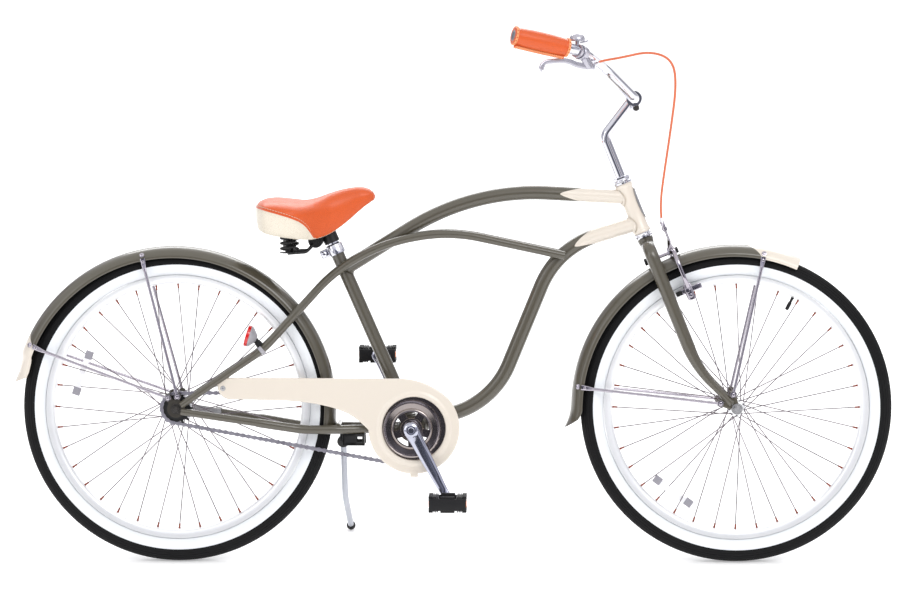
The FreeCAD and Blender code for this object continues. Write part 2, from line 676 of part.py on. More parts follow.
RAIL_RADIUS = 3.5
SPRING_BACK = -80
SPRING_Y = 50
rails = []
for side in (-1, 1):
    path = rounded_path([SADDLE_BASE + Vector(*point) for point in (
        (SPRING_BACK, side * SPRING_Y, -48), (-42, side * 32, -46), (-26, side * 22, -28),
        (84, side * 7, 62))], [14, 14])
    rails.append(rod(path, RAIL_RADIUS))
direct("saddle_rails", Part.makeCompound(rails))

saddle = Part.makeLoft([saddle_section(*section) for section in SADDLE_SECTIONS], True)
pan = Part.makeLoft([pan_section(*section) for section in SADDLE_SECTIONS[1:-1]], True)
saddle = saddle.cut(pan)
for rail in rails:
    saddle = saddle.cut(rail.makeOffsetShape(S.seat_gap, 0.01))
direct("saddle", max(saddle.Solids, key=lambda solid: solid.Volume))

GUTS_RADIUS = 16
GUTS_CENTRE = SADDLE_BASE + Vector(-23, 0, -22)
guts = across(GUTS_RADIUS, -24, 24, GUTS_CENTRE.x, GUTS_CENTRE.z)
guts = guts.fuse(across(8, -32, 32, GUTS_CENTRE.x, GUTS_CENTRE.z))
ring = straight_rod(on_seat_tube(S.post_top) - SEAT_UP * 30, on_seat_tube(S.post_top) - SEAT_UP * 4,
                    S.post_radius + 4)
guts = guts.fuse(ring)
guts = guts.cut(straight_rod(on_seat_tube(S.seat_tube_top), on_seat_tube(S.post_top + 40),
                             S.post_radius + S.bore_clearance))
for rail in rails:
    guts = guts.cut(rail)
direct("saddle_clamp", max(guts.Solids, key=lambda solid: solid.Volume))

SPRING_TURNS = 6
SPRING_LOW = -44
SPRING_HIGH = 12
spring_profile = [(7, SPRING_LOW)]
for turn in range(SPRING_TURNS):
    height = SPRING_LOW + (SPRING_HIGH - SPRING_LOW) * (turn + 0.5) / SPRING_TURNS
    half_turn = (SPRING_HIGH - SPRING_LOW) / SPRING_TURNS / 2
    spring_profile += [(13, height - half_turn), (18, height)]
spring_profile += [(13, SPRING_HIGH), (7, SPRING_HIGH)]
springs = []
for side in (-1, 1):
    base = SADDLE_BASE + Vector(SPRING_BACK, side * SPRING_Y, 0)
    section = Part.makePolygon([base + Vector(radius, 0, height)
                                for radius, height in spring_profile + spring_profile[:1]])
    spring = Part.Face(section).revolve(base, Vector(0, 0, 1), 360)
    springs.append(spring)
direct("saddle_springs", Part.makeCompound(springs))


# Fenders

def fender(label, axle, shift, start, end, flare_start, flare_end):
    """A crowned fender round a wheel, between two angles, with a flared lip at either end."""
    centre = axle + shift
    radius = FENDER_RADIUS
    mid = (start + end) / 2
    edges = [Part.Arc(polar(radius, start, centre), polar(radius, mid, centre),
                      polar(radius, end, centre)).toShape()]
    flare = 70
    if flare_start:
        hub_point = polar(radius + flare, start, centre)
        turn = start - 180
        arc = Part.Arc(polar(flare, turn + flare_start, hub_point),
                       polar(flare, turn + flare_start / 2, hub_point),
                       polar(flare, turn, hub_point))
        edges.insert(0, arc.toShape())
    if flare_end:
        hub_point = polar(radius + flare, end, centre)
        turn = end - 180
        arc = Part.Arc(polar(flare, turn, hub_point),
                       polar(flare, turn - flare_end / 2, hub_point),
                       polar(flare, turn - flare_end, hub_point))
        edges.append(arc.toShape())
    path = Part.Wire(edges)
    first = path.Edges[0]
    origin = first.valueAt(first.FirstParameter)
    tangent = first.tangentAt(first.FirstParameter)
    outward = tangent.cross(ACROSS)
    if (origin + outward - centre).Length < (origin - centre).Length:
        outward = outward * -1
    half = S.fender_half
    skin = S.fender_sheet
    shoulder = S.fender_drop * 0.72
    drop = S.fender_drop

    def at(y, depth):
        return origin + Vector(0, y, 0) - outward * depth

    outline = Part.Wire([
        Part.LineSegment(at(-half, drop), at(-half, shoulder)).toShape(),
        Part.Arc(at(-half, shoulder), at(0, 0), at(half, shoulder)).toShape(),
        Part.LineSegment(at(half, shoulder), at(half, drop)).toShape(),
        Part.LineSegment(at(half, drop), at(half - skin, drop)).toShape(),
        Part.LineSegment(at(half - skin, drop), at(half - skin, shoulder)).toShape(),
        Part.Arc(at(half - skin, shoulder), at(0, skin), at(-half + skin, shoulder)).toShape(),
        Part.LineSegment(at(-half + skin, shoulder), at(-half + skin, drop)).toShape(),
        Part.LineSegment(at(-half + skin, drop), at(-half, drop)).toShape()])
    sweep = Part.BRepOffsetAPI.MakePipeShell(path)
    sweep.setBiNormalMode(ACROSS)
    sweep.add(outline)
    sweep.build()
    sweep.makeSolid()
    return sweep.shape()


REAR_FENDER_SHIFT = Vector(-8.5, 0, -3)
FRONT_FENDER_SHIFT = Vector(-5, 0, 0)
rear_fender_solid = fender("rear_fender", REAR_AXLE, REAR_FENDER_SHIFT, -6, 160, 0, 26)
front_fender_solid = fender("front_fender", FRONT_AXLE, FRONT_FENDER_SHIFT, 66, 186, 0, 22)
direct("rear_fender", rear_fender_solid)
direct("front_fender", front_fender_solid)


def fender_stays(label, ear_face, foot_y, ends):
    """Rods from the fender's sides down to the eyelets beside the axle."""
    pieces = []
    top_y = S.fender_half + S.fender_stay_radius + S.seat_gap
    for side in (-1, 1):
        for top, foot in ends:
            foot = at_side(side * foot_y, foot)
            stay = straight_rod(foot, at_side(side * top_y, top), S.fender_stay_radius)
            low, high = sorted((side * (ear_face + S.seat_gap), side * foot_y))
            pieces.append(stay.fuse(across(EYE_RADIUS - 1.5, low, high, foot.x, foot.z)))
    return direct(label, Part.makeCompound(pieces))


FRONT_EYES = [Vector(-8.5, 0, 31), Vector(-35.5, 0, 12)]
STAY_REACH = FENDER_RADIUS - 12
FORK_END_RADIUS = 12
FORK_END_THICKNESS = 5
fender_stays("rear_fender_stays", S.rear_fork_half + DROPOUT_THICKNESS / 2, S.rear_fork_half + 6.4,
             [(polar(STAY_REACH, 101.2, REAR_AXLE + REAR_FENDER_SHIFT), REAR_AXLE + STAY_EYES[1]),
              (polar(STAY_REACH, 155.9, REAR_AXLE + REAR_FENDER_SHIFT), REAR_AXLE + STAY_EYES[0])])
fender_stays("front_fender_stays", S.front_fork_half + FORK_END_THICKNESS / 2,
             S.front_fork_half + 8,
             [(polar(STAY_REACH, 79.3, FRONT_AXLE + FRONT_FENDER_SHIFT), FRONT_AXLE + FRONT_EYES[0]),
              (polar(STAY_REACH, 172.3, FRONT_AXLE + FRONT_FENDER_SHIFT), FRONT_AXLE + FRONT_EYES[1])])

# Fork and headset

STEER_AHEAD = Vector(STEER_UP.z, 0, -STEER_UP.x)


def steer(ahead, left, up):
    """A point given from the lower headset: ahead of, beside and along the steering axis."""
    return HEAD_FOOT + STEER_AHEAD * ahead + ACROSS * left + STEER_UP * up


CROWN_LOW = -34
blades = []
for side in (-1, 1):
    blade_path = rounded_path([steer(0, side * 6, -15.5), steer(0, side * S.blade_y, -21.5),
                               steer(0, side * S.blade_y, -300),
                               FRONT_AXLE + Vector(-11, side * S.front_fork_half, 11)], [26, 300])
    blades.append(tapered_rod(blade_path, S.blade_top_radius, S.blade_end_radius))
fork = blades[0].fuse(blades[1])
fork = fork.fuse(straight_rod(steer(0, 0, CROWN_LOW), steer(0, 0, -0.5), S.head_tube_radius))
fork = fork.fuse(straight_rod(steer(0, 0, CROWN_LOW), steer(0, 0, 140), S.steerer_radius))
for side in (-1, 1):
    fork = fork.fuse(eyelet_plate(FRONT_AXLE, side * S.front_fork_half, FRONT_EYES,
                                  FORK_END_RADIUS, FORK_END_THICKNESS))
fender_centre = FRONT_AXLE + FRONT_FENDER_SHIFT
crown_foot = steer(0, 0, CROWN_LOW)
fender_way = (fender_centre - crown_foot).normalize()
fork = fork.fuse(straight_rod(steer(0, 0, CROWN_LOW + 10),
                              fender_centre - fender_way * (FENDER_RADIUS + S.seat_gap), 7))
fork = fork.cut(across(S.axle_radius + S.seat_gap, -90, 90, FRONT_AXLE.x, FRONT_AXLE.z))
fork = fork.cut(straight_rod(steer(0, 0, 40), steer(0, 0, 150), 10.5))
direct("fork", fork)

CUP_RADIUS = 20
UPPER_CUP = 6
upper_start = S.cup_height + S.head_tube_length + 0.01
steerer_bore = straight_rod(steer(0, 0, -10), steer(0, 0, 200), S.steerer_radius + 0.5)
lower_cup = straight_rod(steer(0, 0, 1), steer(0, 0, S.cup_height - 0.01), CUP_RADIUS)
upper_cup = straight_rod(steer(0, 0, upper_start), steer(0, 0, upper_start + UPPER_CUP), CUP_RADIUS)
direct("headset_cups", Part.makeCompound([lower_cup.cut(steerer_bore), upper_cup.cut(steerer_bore)]))
turned("headset_nut", [(S.steerer_radius + 0.02, 0), (18, 0), (18, 7), (15, 11),
                       (S.steerer_radius + 0.02, 11)],
       facing(steer(0, 0, upper_start + UPPER_CUP + 0.5), STEER_UP))

# Front brake: arms on one bolt through the fork's crown, and the pads they carry

BOLT_UP = -24
BRAKE_AHEAD = 42
brake = straight_rod(steer(S.head_tube_radius + S.seat_gap, 0, BOLT_UP), steer(50, 0, BOLT_UP), 4)
brake = brake.fuse(straight_rod(steer(48, 0, BOLT_UP), steer(52, 0, BOLT_UP), 7))
for side in (-1, 1):
    arm_path = rounded_path([steer(BRAKE_AHEAD, left * side, up) for left, up in (
        (0, -24), (34, -30), (46, -58), (45, -112), (33, -137))], [16, 26, 40, 30])
    brake = brake.fuse(rod(arm_path, S.lever_radius))
    brake = brake.fuse(Part.makeSphere(S.lever_radius, steer(BRAKE_AHEAD, 33 * side, -137)))
    pad_centre = steer(BRAKE_AHEAD, side * (S.pad_y + 4.5), -137)
    tangent = ACROSS.cross(at_side(0, pad_centre) - FRONT_AXLE).normalize()
    pad = Part.makeBox(9, 50, 10, Vector(-4.5, -25, -5))
    pad.Placement = Placement(pad_centre, Rotation(ACROSS, tangent, Vector(), "XYZ"))
    brake = brake.fuse(pad)
CABLE_STOP = steer(46, -34, 20)
brake = brake.fuse(straight_rod(steer(BRAKE_AHEAD, 0, BOLT_UP), steer(46, -34, -3), 4.5))
brake = brake.fuse(straight_rod(steer(46, -34, -6), CABLE_STOP, 4))
direct("front_brake", brake)

# Stem and handlebar

ELBOW = steer(0, 0, S.stem_height)
BAR_CENTRE = polar(S.stem_reach, S.stem_rise, ELBOW)
NUT_TOP = upper_start + UPPER_CUP + 0.5 + 11
quill = rounded_path([steer(0, 0, 60), ELBOW, BAR_CENTRE], [26])
stem = rod(quill, 10.4)
stem = stem.fuse(straight_rod(steer(0, 0, NUT_TOP + 0.5), steer(0, 0, S.stem_height - 12),
                              S.stem_radius))
stem = stem.fuse(disc(BAR_CENTRE, ACROSS, 17, 42))
stem = stem.cut(across(S.bar_radius + S.bore_clearance, -60, 60, BAR_CENTRE.x, BAR_CENTRE.z))
direct("stem", stem)

# From the clamp's centre to the left: ahead, beside, above, and the bend there
BAR_TABLE = [
    (0, 0, 0, 0),
    (0, 48, 0, 34),
    (-66, 130, 65.5, 110),
    (-102, 245, 91.5, 110),
    (-132, 297, 105.5, 60),
    (-260.5, 341, 135, 0),
]
BAR_POINTS = [BAR_CENTRE + Vector(ahead, left, up) for ahead, left, up, bend in BAR_TABLE]
BAR_BENDS = [bend for ahead, left, up, bend in BAR_TABLE[1:-1]]


def bar_half(side, radius):
    points = [point if side > 0 else mirrored(point) for point in BAR_POINTS]
    return rod(rounded_path(points, BAR_BENDS), radius)


direct("handlebar", bar_half(1, S.bar_radius).fuse(bar_half(-1, S.bar_radius)))

for side, word in ((-1, "right"), (1, "left")):
    tip, heel = [point if side > 0 else mirrored(point) for point in (BAR_POINTS[-1], BAR_POINTS[-2])]
    back = (tip - heel).normalize()
    grip_front = tip - back * (S.grip_length - 4)
    sleeve = straight_rod(grip_front, tip + back * 4, S.grip_radius)
    direct(f"grip_{word}", sleeve.cut(bar_half(side, S.bar_radius + S.seat_gap)))

# Brake lever, bell and brake cable, on the right half of the handlebar

bar_low = mirrored(BAR_POINTS[3])
bar_high = mirrored(BAR_POINTS[4])
bar_way = (bar_high - bar_low).normalize()
lever_clamp = bar_low + (bar_high - bar_low) * 0.44
bell_clamp = lever_clamp + bar_way * 18
LEVER_PIVOT = lever_clamp + Vector(17, 9, -26)
LEVER_TIP = LEVER_PIVOT + Vector(-98, -56, -12)
CABLE_START = LEVER_PIVOT + Vector(14, 28, 5)
lever = disc(lever_clamp, bar_way, S.bar_radius + 4.5, 18)
lever = lever.fuse(straight_rod(lever_clamp + Vector(4, 2, -8), LEVER_PIVOT, 8))
lever = lever.fuse(rod(rounded_path([LEVER_PIVOT, LEVER_PIVOT + Vector(-68, -43, -8), LEVER_TIP],
                                    [90]), S.lever_radius))
lever = lever.fuse(Part.makeSphere(S.lever_radius + 1.5, LEVER_TIP))
lever = lever.fuse(straight_rod(LEVER_PIVOT, CABLE_START, 5))
bar_room = bar_half(-1, S.bar_radius + S.bore_clearance)
lever = lever.cut(bar_room)
lever = max(lever.Solids, key=lambda solid: solid.Volume)
direct("brake_lever", lever)

BELL_RISE = 24
bell_foot = bell_clamp + Vector(0, 0, S.bar_radius + 2)
bell = disc(bell_clamp, bar_way, S.bar_radius + 3, 8)
bell = bell.fuse(straight_rod(bell_foot - Vector(0, 0, 3), bell_foot + Vector(0, 0, 10), 4))
bell = bell.fuse(Part.makeCone(16, 12, 8, bell_clamp + Vector(0, 0, BELL_RISE), Vector(0, 0, 1)))
bell = bell.fuse(Part.makeCone(12, 4, 5, bell_clamp + Vector(0, 0, BELL_RISE + 8), Vector(0, 0, 1)))
bell = bell.fuse(Part.makeCylinder(16, 4, bell_clamp + Vector(0, 0, BELL_RISE - 4), Vector(0, 0, 1)))
bell = bell.cut(bar_room)
direct("bell", max(bell.Solids, key=lambda solid: solid.Volume))

# Where the cable passes between the lever and the brake, from the lower headset
CABLE_ROUTE = [(-58, -215, 384), (5.5, -190, 398), (53, -160, 380), (62, -140, 327),
               (51, -110, 232), (39.5, -80, 146.5), (31, -48, 73)]
CABLE_RUN = 42
curve = Part.BSplineCurve()
curve.interpolate([CABLE_START] + [HEAD_FOOT + Vector(*point) for point in CABLE_ROUTE]
                  + [CABLE_STOP])
steps = round(curve.length() / CABLE_RUN)
cable_points = curve.discretize(Number=steps + 1)
cable_bends = []
for before, corner, after in zip(cable_points, cable_points[1:], cable_points[2:]):
    half_turn = (corner - before).getAngle(after - corner) / 2
    shorter = min((corner - before).Length, (after - corner).Length)
    cable_bends.append(0.45 * shorter / math.tan(half_turn))
cable = rod(rounded_path(cable_points, cable_bends), S.cable_radius)
cable = cable.cut(lever).cut(brake)
direct("brake_cable", max(cable.Solids, key=lambda solid: solid.Volume))
print("cable bends", [round(bend) for bend in cable_bends])

# Crank and chainring

RIGHT_TIP = polar(S.crank_length, S.crank_angle, CRANK_AXLE)
LEFT_TIP = polar(S.crank_length, S.crank_angle + 180, CRANK_AXLE)
SPINDLE_END = S.pedal_y + S.pedal_width / 2 - 6

# Along the arm, half its width, half its thickness, and its way outwards
ARM_TABLE = [(12, 12, 7, 0), (60, 13, 6.5, 1), (120, 11, 6, 6)]


def crank_arm(side, tip):
    """A forged arm that is thick at its axle and flat and narrow at its pedal."""
    run = (tip - CRANK_AXLE).normalize()
    lateral = ACROSS.cross(run)
    wires = []
    for along, half, thick, out in ARM_TABLE + [(S.crank_length - 8, 10, 6, S.arm_tip_y - S.arm_y)]:
        centre = CRANK_AXLE + run * along + ACROSS * (side * (S.arm_y + out))
        corners = [centre + lateral * (half * cx) + ACROSS * (thick * cy)
                   for cx, cy in ((1, 0.5), (0.6, 1), (-0.6, 1), (-1, 0.5),
                                  (-1, -0.5), (-0.6, -1), (0.6, -1), (1, -0.5), (1, 0.5))]
        wires.append(Part.makePolygon(corners))
    arm = Part.makeLoft(wires, True, True)
    root = disc(at_side(side * S.arm_y, CRANK_AXLE), ACROSS, 17, 18)
    end = disc(tip + ACROSS * (side * S.arm_tip_y), ACROSS, 12.5, 14)
    low, high = sorted((side * S.arm_tip_y, side * SPINDLE_END))
    return arm.fuse(root).fuse(end).fuse(across(S.spindle_radius, low, high, tip.x, tip.z))


AXLE_RADIUS = 8.5
COLLAR_RADIUS = 20
crank = across(AXLE_RADIUS, -S.arm_y, S.arm_y, S.crank_x, S.crank_z)
crank = crank.fuse(crank_arm(-1, RIGHT_TIP)).fuse(crank_arm(1, LEFT_TIP))
crank = crank.fuse(across(COLLAR_RADIUS, -S.chain_y + 1.2, -S.bracket_half - 1, S.crank_x, S.crank_z))
direct("crank", crank)

RING_PITCH = S.chain_pitch / 2 / math.sin(math.pi / S.ring_teeth)
COG_PITCH = S.chain_pitch / 2 / math.sin(math.pi / S.cog_teeth)
TOOTH = 4
RING_HALF = 1.1


def sprocket(centre, teeth, pitch_radius):
    """A toothed disc: a root circle with a straight-sided tooth between each pair of rollers."""
    corners = []
    root = pitch_radius - TOOTH
    tip = pitch_radius + TOOTH
    for index in range(int(teeth)):
        base = 360 * index / teeth
        step = 360 / teeth
        for part, radius in ((-0.32, root), (-0.1, tip), (0.1, tip), (0.32, root)):
            corners.append(at_side(-S.chain_y - RING_HALF, polar(radius, base + part * step, centre)))
    corners.append(corners[0])
    return Part.Face(Part.makePolygon(corners)).extrude(Vector(0, 2 * RING_HALF, 0))


RING_LIP = 59
ring = sprocket(CRANK_AXLE, S.ring_teeth, RING_PITCH)
lip = across(RING_LIP, -S.chain_y - 4, -S.chain_y - RING_HALF, S.crank_x, S.crank_z)
ring = ring.fuse(lip.cut(across(RING_LIP - 5, -60, -20, S.crank_x, S.crank_z)))
ring = ring.fuse(across(24, -S.chain_y - 4, -S.chain_y, S.crank_x, S.crank_z))
ring = ring.cut(across(AXLE_RADIUS + S.bore_clearance, -60, -20, S.crank_x, S.crank_z))
for index in range(5):
    hole = polar(40, 72 * index + 20, CRANK_AXLE)
    ring = ring.cut(across(13, -60, -20, hole.x, hole.z))
direct("chainring", ring)

cog = sprocket(REAR_AXLE, S.cog_teeth, COG_PITCH)
cog = cog.cut(across(S.axle_radius + S.seat_gap, -60, -20, 0, S.tyre_outer))
direct("rear_cog", cog)

# Chain: side plates right round, and a roller on each pin of the straight runs

gap = CRANK_AXLE - REAR_AXLE
SLOPE = math.degrees(math.atan2(gap.z, gap.x))
SPREAD = math.degrees(math.acos((RING_PITCH - COG_PITCH) / gap.Length))


def belt(offset):
    """The closed line at an offset from the chain's pitch line round both sprockets."""
    upper = SLOPE + SPREAD
    lower = SLOPE - SPREAD
    big = RING_PITCH + offset
    small = COG_PITCH + offset
    return Part.Wire([
        Part.Arc(polar(big, lower, CRANK_AXLE), polar(big, SLOPE, CRANK_AXLE),
                 polar(big, upper, CRANK_AXLE)).toShape(),
        Part.LineSegment(polar(big, upper, CRANK_AXLE), polar(small, upper, REAR_AXLE)).toShape(),
        Part.Arc(polar(small, upper, REAR_AXLE), polar(small, SLOPE + 180, REAR_AXLE),
                 polar(small, lower, REAR_AXLE)).toShape(),
        Part.LineSegment(polar(small, lower, REAR_AXLE), polar(big, lower, CRANK_AXLE)).toShape()])


band = Part.Face(belt(S.plate_height / 2)).cut(Part.Face(belt(-S.plate_height / 2)))
chain = []
for low in (-S.chain_y - S.plate_gap - S.plate_thickness, -S.chain_y + S.plate_gap):
    side_plates = band.copy()
    side_plates.translate(Vector(0, low, 0))
    chain.append(side_plates.extrude(Vector(0, S.plate_thickness, 0)))
ROLLER_CORNERS = 6
ROLLER_RADIUS = 3.9
FREE_PINS = 4
for angle in (SLOPE + SPREAD, SLOPE - SPREAD):
    start = polar(COG_PITCH, angle, REAR_AXLE)
    end = polar(RING_PITCH, angle, CRANK_AXLE)
    pins = int((end - start).Length / S.chain_pitch)
    run = (end - start).normalize()
    for index in range(FREE_PINS, pins - FREE_PINS):
        pin = start + run * (index * S.chain_pitch)
        corners = [at_side(-S.chain_y - S.plate_gap,
                           polar(ROLLER_RADIUS, 360 * step / ROLLER_CORNERS, pin))
                   for step in range(ROLLER_CORNERS + 1)]
        chain.append(Part.Face(Part.makePolygon(corners)).extrude(Vector(0, 2 * S.plate_gap, 0)))
direct("chain", Part.makeCompound(chain))

# Chain guard: a plate over the chain's upper run that ends in a disc round the crank

GUARD_CENTRE = CRANK_AXLE + Vector(5, 0, 2)


GUARD_DRAWN = 97
GUARD_SCALE = S.guard_radius / GUARD_DRAWN


def guard_point(ahead, up):
    """A point of the guard's outline, which was drawn round a disc of GUARD_DRAWN."""
    return CRANK_AXLE + Vector(ahead, 0, up) * GUARD_SCALE


# Ahead of and above the crank axle: the lower edge, from the disc to the tail
GUARD_LOWER = [(-92, -1), (-119, 28), (-172, 49), (-235, 60), (-300, 63), (-383, 64)]
upper_edge = Part.LineSegment(guard_point(-408, 111), guard_point(-32, 109)).toShape()
shoulder = Part.Arc(guard_point(-32, 109), guard_point(30, 98), guard_point(78, 67)).toShape()
disc_edge = Part.Arc(guard_point(78, 67), polar(S.guard_radius, -55, GUARD_CENTRE),
                     guard_point(-92, -1)).toShape()
lower_curve = Part.BSplineCurve()
lower_curve.interpolate([guard_point(*point) for point in GUARD_LOWER])
tail = Part.Arc(guard_point(-383, 64), guard_point(-412, 82), guard_point(-408, 111)).toShape()
outline = Part.Wire([upper_edge, shoulder, disc_edge, lower_curve.toShape(), tail])
guard = Part.Face(outline).extrude(Vector(0, -S.guard_sheet, 0))
guard.translate(Vector(0, -S.guard_y, 0))
mouth = across(S.guard_mouth, -70, -40, GUARD_CENTRE.x, GUARD_CENTRE.z)
MOUTH_LIP = 4
guard = guard.fuse(across(S.guard_mouth + S.guard_sheet, -S.guard_y - S.guard_sheet,
                          -S.guard_y + MOUTH_LIP, GUARD_CENTRE.x, GUARD_CENTRE.z)).cut(mouth)

# its foot: a strap from a ring on the bottom bracket's shell, down behind the chainring
STRAP_OUT = S.bracket_half - 0.1
STRAP_DOWN = S.guard_radius + 5
strap = across(S.bracket_shell + 5, -STRAP_OUT, -STRAP_OUT + 2, S.crank_x, S.crank_z)
strap = strap.fuse(Part.makeBox(14, 2, STRAP_DOWN, CRANK_AXLE + Vector(-2, -STRAP_OUT, -STRAP_DOWN)))
strap = strap.fuse(Part.makeBox(14, S.guard_y + S.guard_sheet - STRAP_OUT + 2, 2,
                                CRANK_AXLE + Vector(-2, -S.guard_y - S.guard_sheet, -STRAP_DOWN)))
strap = strap.fuse(Part.makeBox(14, S.guard_sheet, 10,
                                CRANK_AXLE + Vector(-2, -S.guard_y - S.guard_sheet, -STRAP_DOWN)))
strap = strap.cut(across(S.bracket_shell + S.seat_gap, -60, 60, S.crank_x, S.crank_z))
guard = guard.fuse(strap)
tube_room = rod(rounded_path([mirrored(point) for point in SIDE_TUBE_POINTS], SIDE_TUBE_BENDS),
                S.side_tube_radius + 0.5)
guard = guard.cut(tube_room)
direct("chain_guard", max(guard.Solids, key=lambda solid: solid.Volume))

# Pedals

TREAD = 26
for side, word, tip in ((-1, "right", RIGHT_TIP), (1, "left", LEFT_TIP)):
    centre = tip + ACROSS * (side * S.pedal_y)
    half = Vector(S.pedal_length, S.pedal_width, S.pedal_height) * 0.5
    pedal = disc(centre, ACROSS, 10, S.pedal_width)
    for fore in (-1, 1):
        block = Part.makeBox(TREAD, S.pedal_width - 8, S.pedal_height,
                             centre + Vector(fore * (half.x - TREAD / 2) - TREAD / 2,
                                             4 - half.y, -half.z))
        pedal = pedal.fuse(block)
        end_plate = Part.makeBox(S.pedal_length - 6, 4, S.pedal_height - 8,
                                 centre + Vector(3 - half.x, -2 + fore * (half.y - 2), 4 - half.z))
        pedal = pedal.fuse(end_plate)
    pedal = pedal.cut(disc(centre, ACROSS, S.spindle_radius + S.bore_clearance, 2 * S.pedal_width))
    direct(f"pedal_{word}", pedal)

# Side stand: a casting under the chain stays with a slanting pin, and the leg on it

PIVOT = Vector(S.stand_x, S.stand_y, S.stand_z)
HINGE = Vector(0, math.cos(math.radians(S.stand_axis_tilt)), math.sin(math.radians(S.stand_axis_tilt)))
KNEE = PIVOT + Vector(2, S.stand_knee_out, -S.stand_knee_down)
FOOT = Vector(S.stand_foot_x, S.stand_foot_y, S.stand_foot_z)
HUB_RADIUS = 10
HUB_LENGTH = 15
leg = rod(rounded_path([PIVOT, KNEE, FOOT], [S.stand_knee_bend]), S.stand_radius)
leg = leg.fuse(disc(PIVOT, HINGE, HUB_RADIUS, HUB_LENGTH))
leg = leg.fuse(Part.makeSphere(S.stand_foot_radius, FOOT))
leg = leg.cut(disc(PIVOT, HINGE, S.stand_pin_radius + S.bore_clearance, 60))
direct("stand_leg", leg)

CASTING_LENGTH = 47
CASTING_DEPTH = 25
CASTING_HALF = 37
STAY_FOOT_Z = S.crank_z - 1.5 - S.stay_radius
casting_top = STAY_FOOT_Z - S.seat_gap
casting = Part.makeBox(CASTING_LENGTH, 2 * CASTING_HALF, CASTING_DEPTH,
                       Vector(S.stand_x + 2, -CASTING_HALF, casting_top - CASTING_DEPTH))
hollow = Part.makeBox(CASTING_LENGTH - 10, 2 * CASTING_HALF - 10, CASTING_DEPTH - 6,
                      Vector(S.stand_x + 7, 5 - CASTING_HALF, casting_top - CASTING_DEPTH))
casting = casting.cut(hollow)
sight = Part.makeBox(13, 200, 12, Vector(S.stand_x + 31, -100, casting_top - 18))
casting = casting.cut(sight)
outer_face = HUB_LENGTH / 2 + S.seat_gap
casting = casting.cut(disc(PIVOT + HINGE * (30 - outer_face), HINGE, HUB_RADIUS + 2, 60))
cheek = disc(PIVOT - HINGE * (outer_face + 3), HINGE, HUB_RADIUS + 3, 6)
web = Part.makeBox(22, 7, 22, Vector(S.stand_x - 6, S.stand_y - outer_face - 9, casting_top - 22))
casting = casting.fuse(cheek).fuse(web)
casting = casting.cut(disc(PIVOT + HINGE * (10 - outer_face), HINGE, HUB_RADIUS + 1, 20))
casting = casting.fuse(straight_rod(PIVOT - HINGE * (outer_face + 6), PIVOT + HINGE * (outer_face + 4),
                                    S.stand_pin_radius))
casting = casting.fuse(straight_rod(PIVOT + HINGE * outer_face, PIVOT + HINGE * (outer_face + 4),
                                    2 * S.stand_pin_radius))
casting = casting.fuse(Part.makeBox(16, 44, 4, Vector(S.stand_x + 18, -22, casting_top - 4)))
for tube in chain_stays.values():
    casting = casting.cut(tube)
upper_plate = Part.makeBox(30, 84, 5, Vector(S.stand_x + 10, -42,
                                             STAY_FOOT_Z + 2 * S.stay_radius + S.seat_gap + 1))
clamp_bolt = Part.makeCylinder(4, 2 * S.stay_radius + 20,
                               Vector(S.stand_x + 25, 0, casting_top - 6), Vector(0, 0, 1))
casting = casting.fuse(upper_plate).fuse(clamp_bolt)
direct("stand_bracket", max(casting.Solids, key=lambda solid: solid.Volume))

# Check and write

document.recompute()
os.makedirs("parts", exist_ok=True)
for item in document.Objects:
    if "Invalid" in item.State or "Error" in item.State:
        raise RuntimeError(f"{item.Label} failed: {item.State}")
for item in nodes:
    if item.Shape.isNull() or not item.Shape.isValid():
        raise RuntimeError(f"{item.Label} has no valid shape")
box = Part.makeCompound([item.Shape for item in nodes]).BoundBox
print("nodes", len(nodes), "lean", round(LEAN, 2), "box", [round(value, 1) for value in (
    box.XMin, box.YMin, box.ZMin, box.XMax, box.YMax, box.ZMax)])
for item in nodes:
    item.Shape.exportStep(f"parts/{item.Label}.step")
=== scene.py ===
import math

import bmesh
import bpy
from mathutils import Matrix, Quaternion, Vector


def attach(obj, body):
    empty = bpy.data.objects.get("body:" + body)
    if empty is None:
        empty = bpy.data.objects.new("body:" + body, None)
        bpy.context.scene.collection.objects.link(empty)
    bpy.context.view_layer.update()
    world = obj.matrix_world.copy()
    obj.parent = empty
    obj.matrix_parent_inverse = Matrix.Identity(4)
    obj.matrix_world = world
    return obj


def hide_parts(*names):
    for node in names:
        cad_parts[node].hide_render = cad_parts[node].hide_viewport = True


# A beach cruiser bicycle that leans on its side stand.
# Places are in millimetres on the upright bicycle: X forward from the rear axle, Y to the left,
# Z up from the ground line. STANCE leans them onto the stand and turns them into metres.

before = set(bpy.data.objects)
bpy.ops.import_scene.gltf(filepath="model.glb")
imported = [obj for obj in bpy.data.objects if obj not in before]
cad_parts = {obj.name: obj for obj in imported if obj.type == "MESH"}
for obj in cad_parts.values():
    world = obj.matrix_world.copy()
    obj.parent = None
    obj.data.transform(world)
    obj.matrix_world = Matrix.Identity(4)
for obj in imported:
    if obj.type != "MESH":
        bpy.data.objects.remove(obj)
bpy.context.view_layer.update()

MM = 0.001
SAME_PLACE = 0.00001
WHEELBASE = 1195
TYRE_OUTER = 332.5
TYRE_SECTION = 27
RING_CENTRE = TYRE_OUTER - TYRE_SECTION
RIM_INNER = 264
NIPPLE_GAP = 0.3
REAR_FORK_HALF = 58
FRONT_FORK_HALF = 50
FENDER_RADIUS = 348
FENDER_HALF = 33.5
FENDER_DROP = 25
STAND_FOOT = Vector((360, 212, 49))
STAND_FOOT_RADIUS = 10
ORIGIN_AHEAD = 15
ORIGIN_LEFT = -204

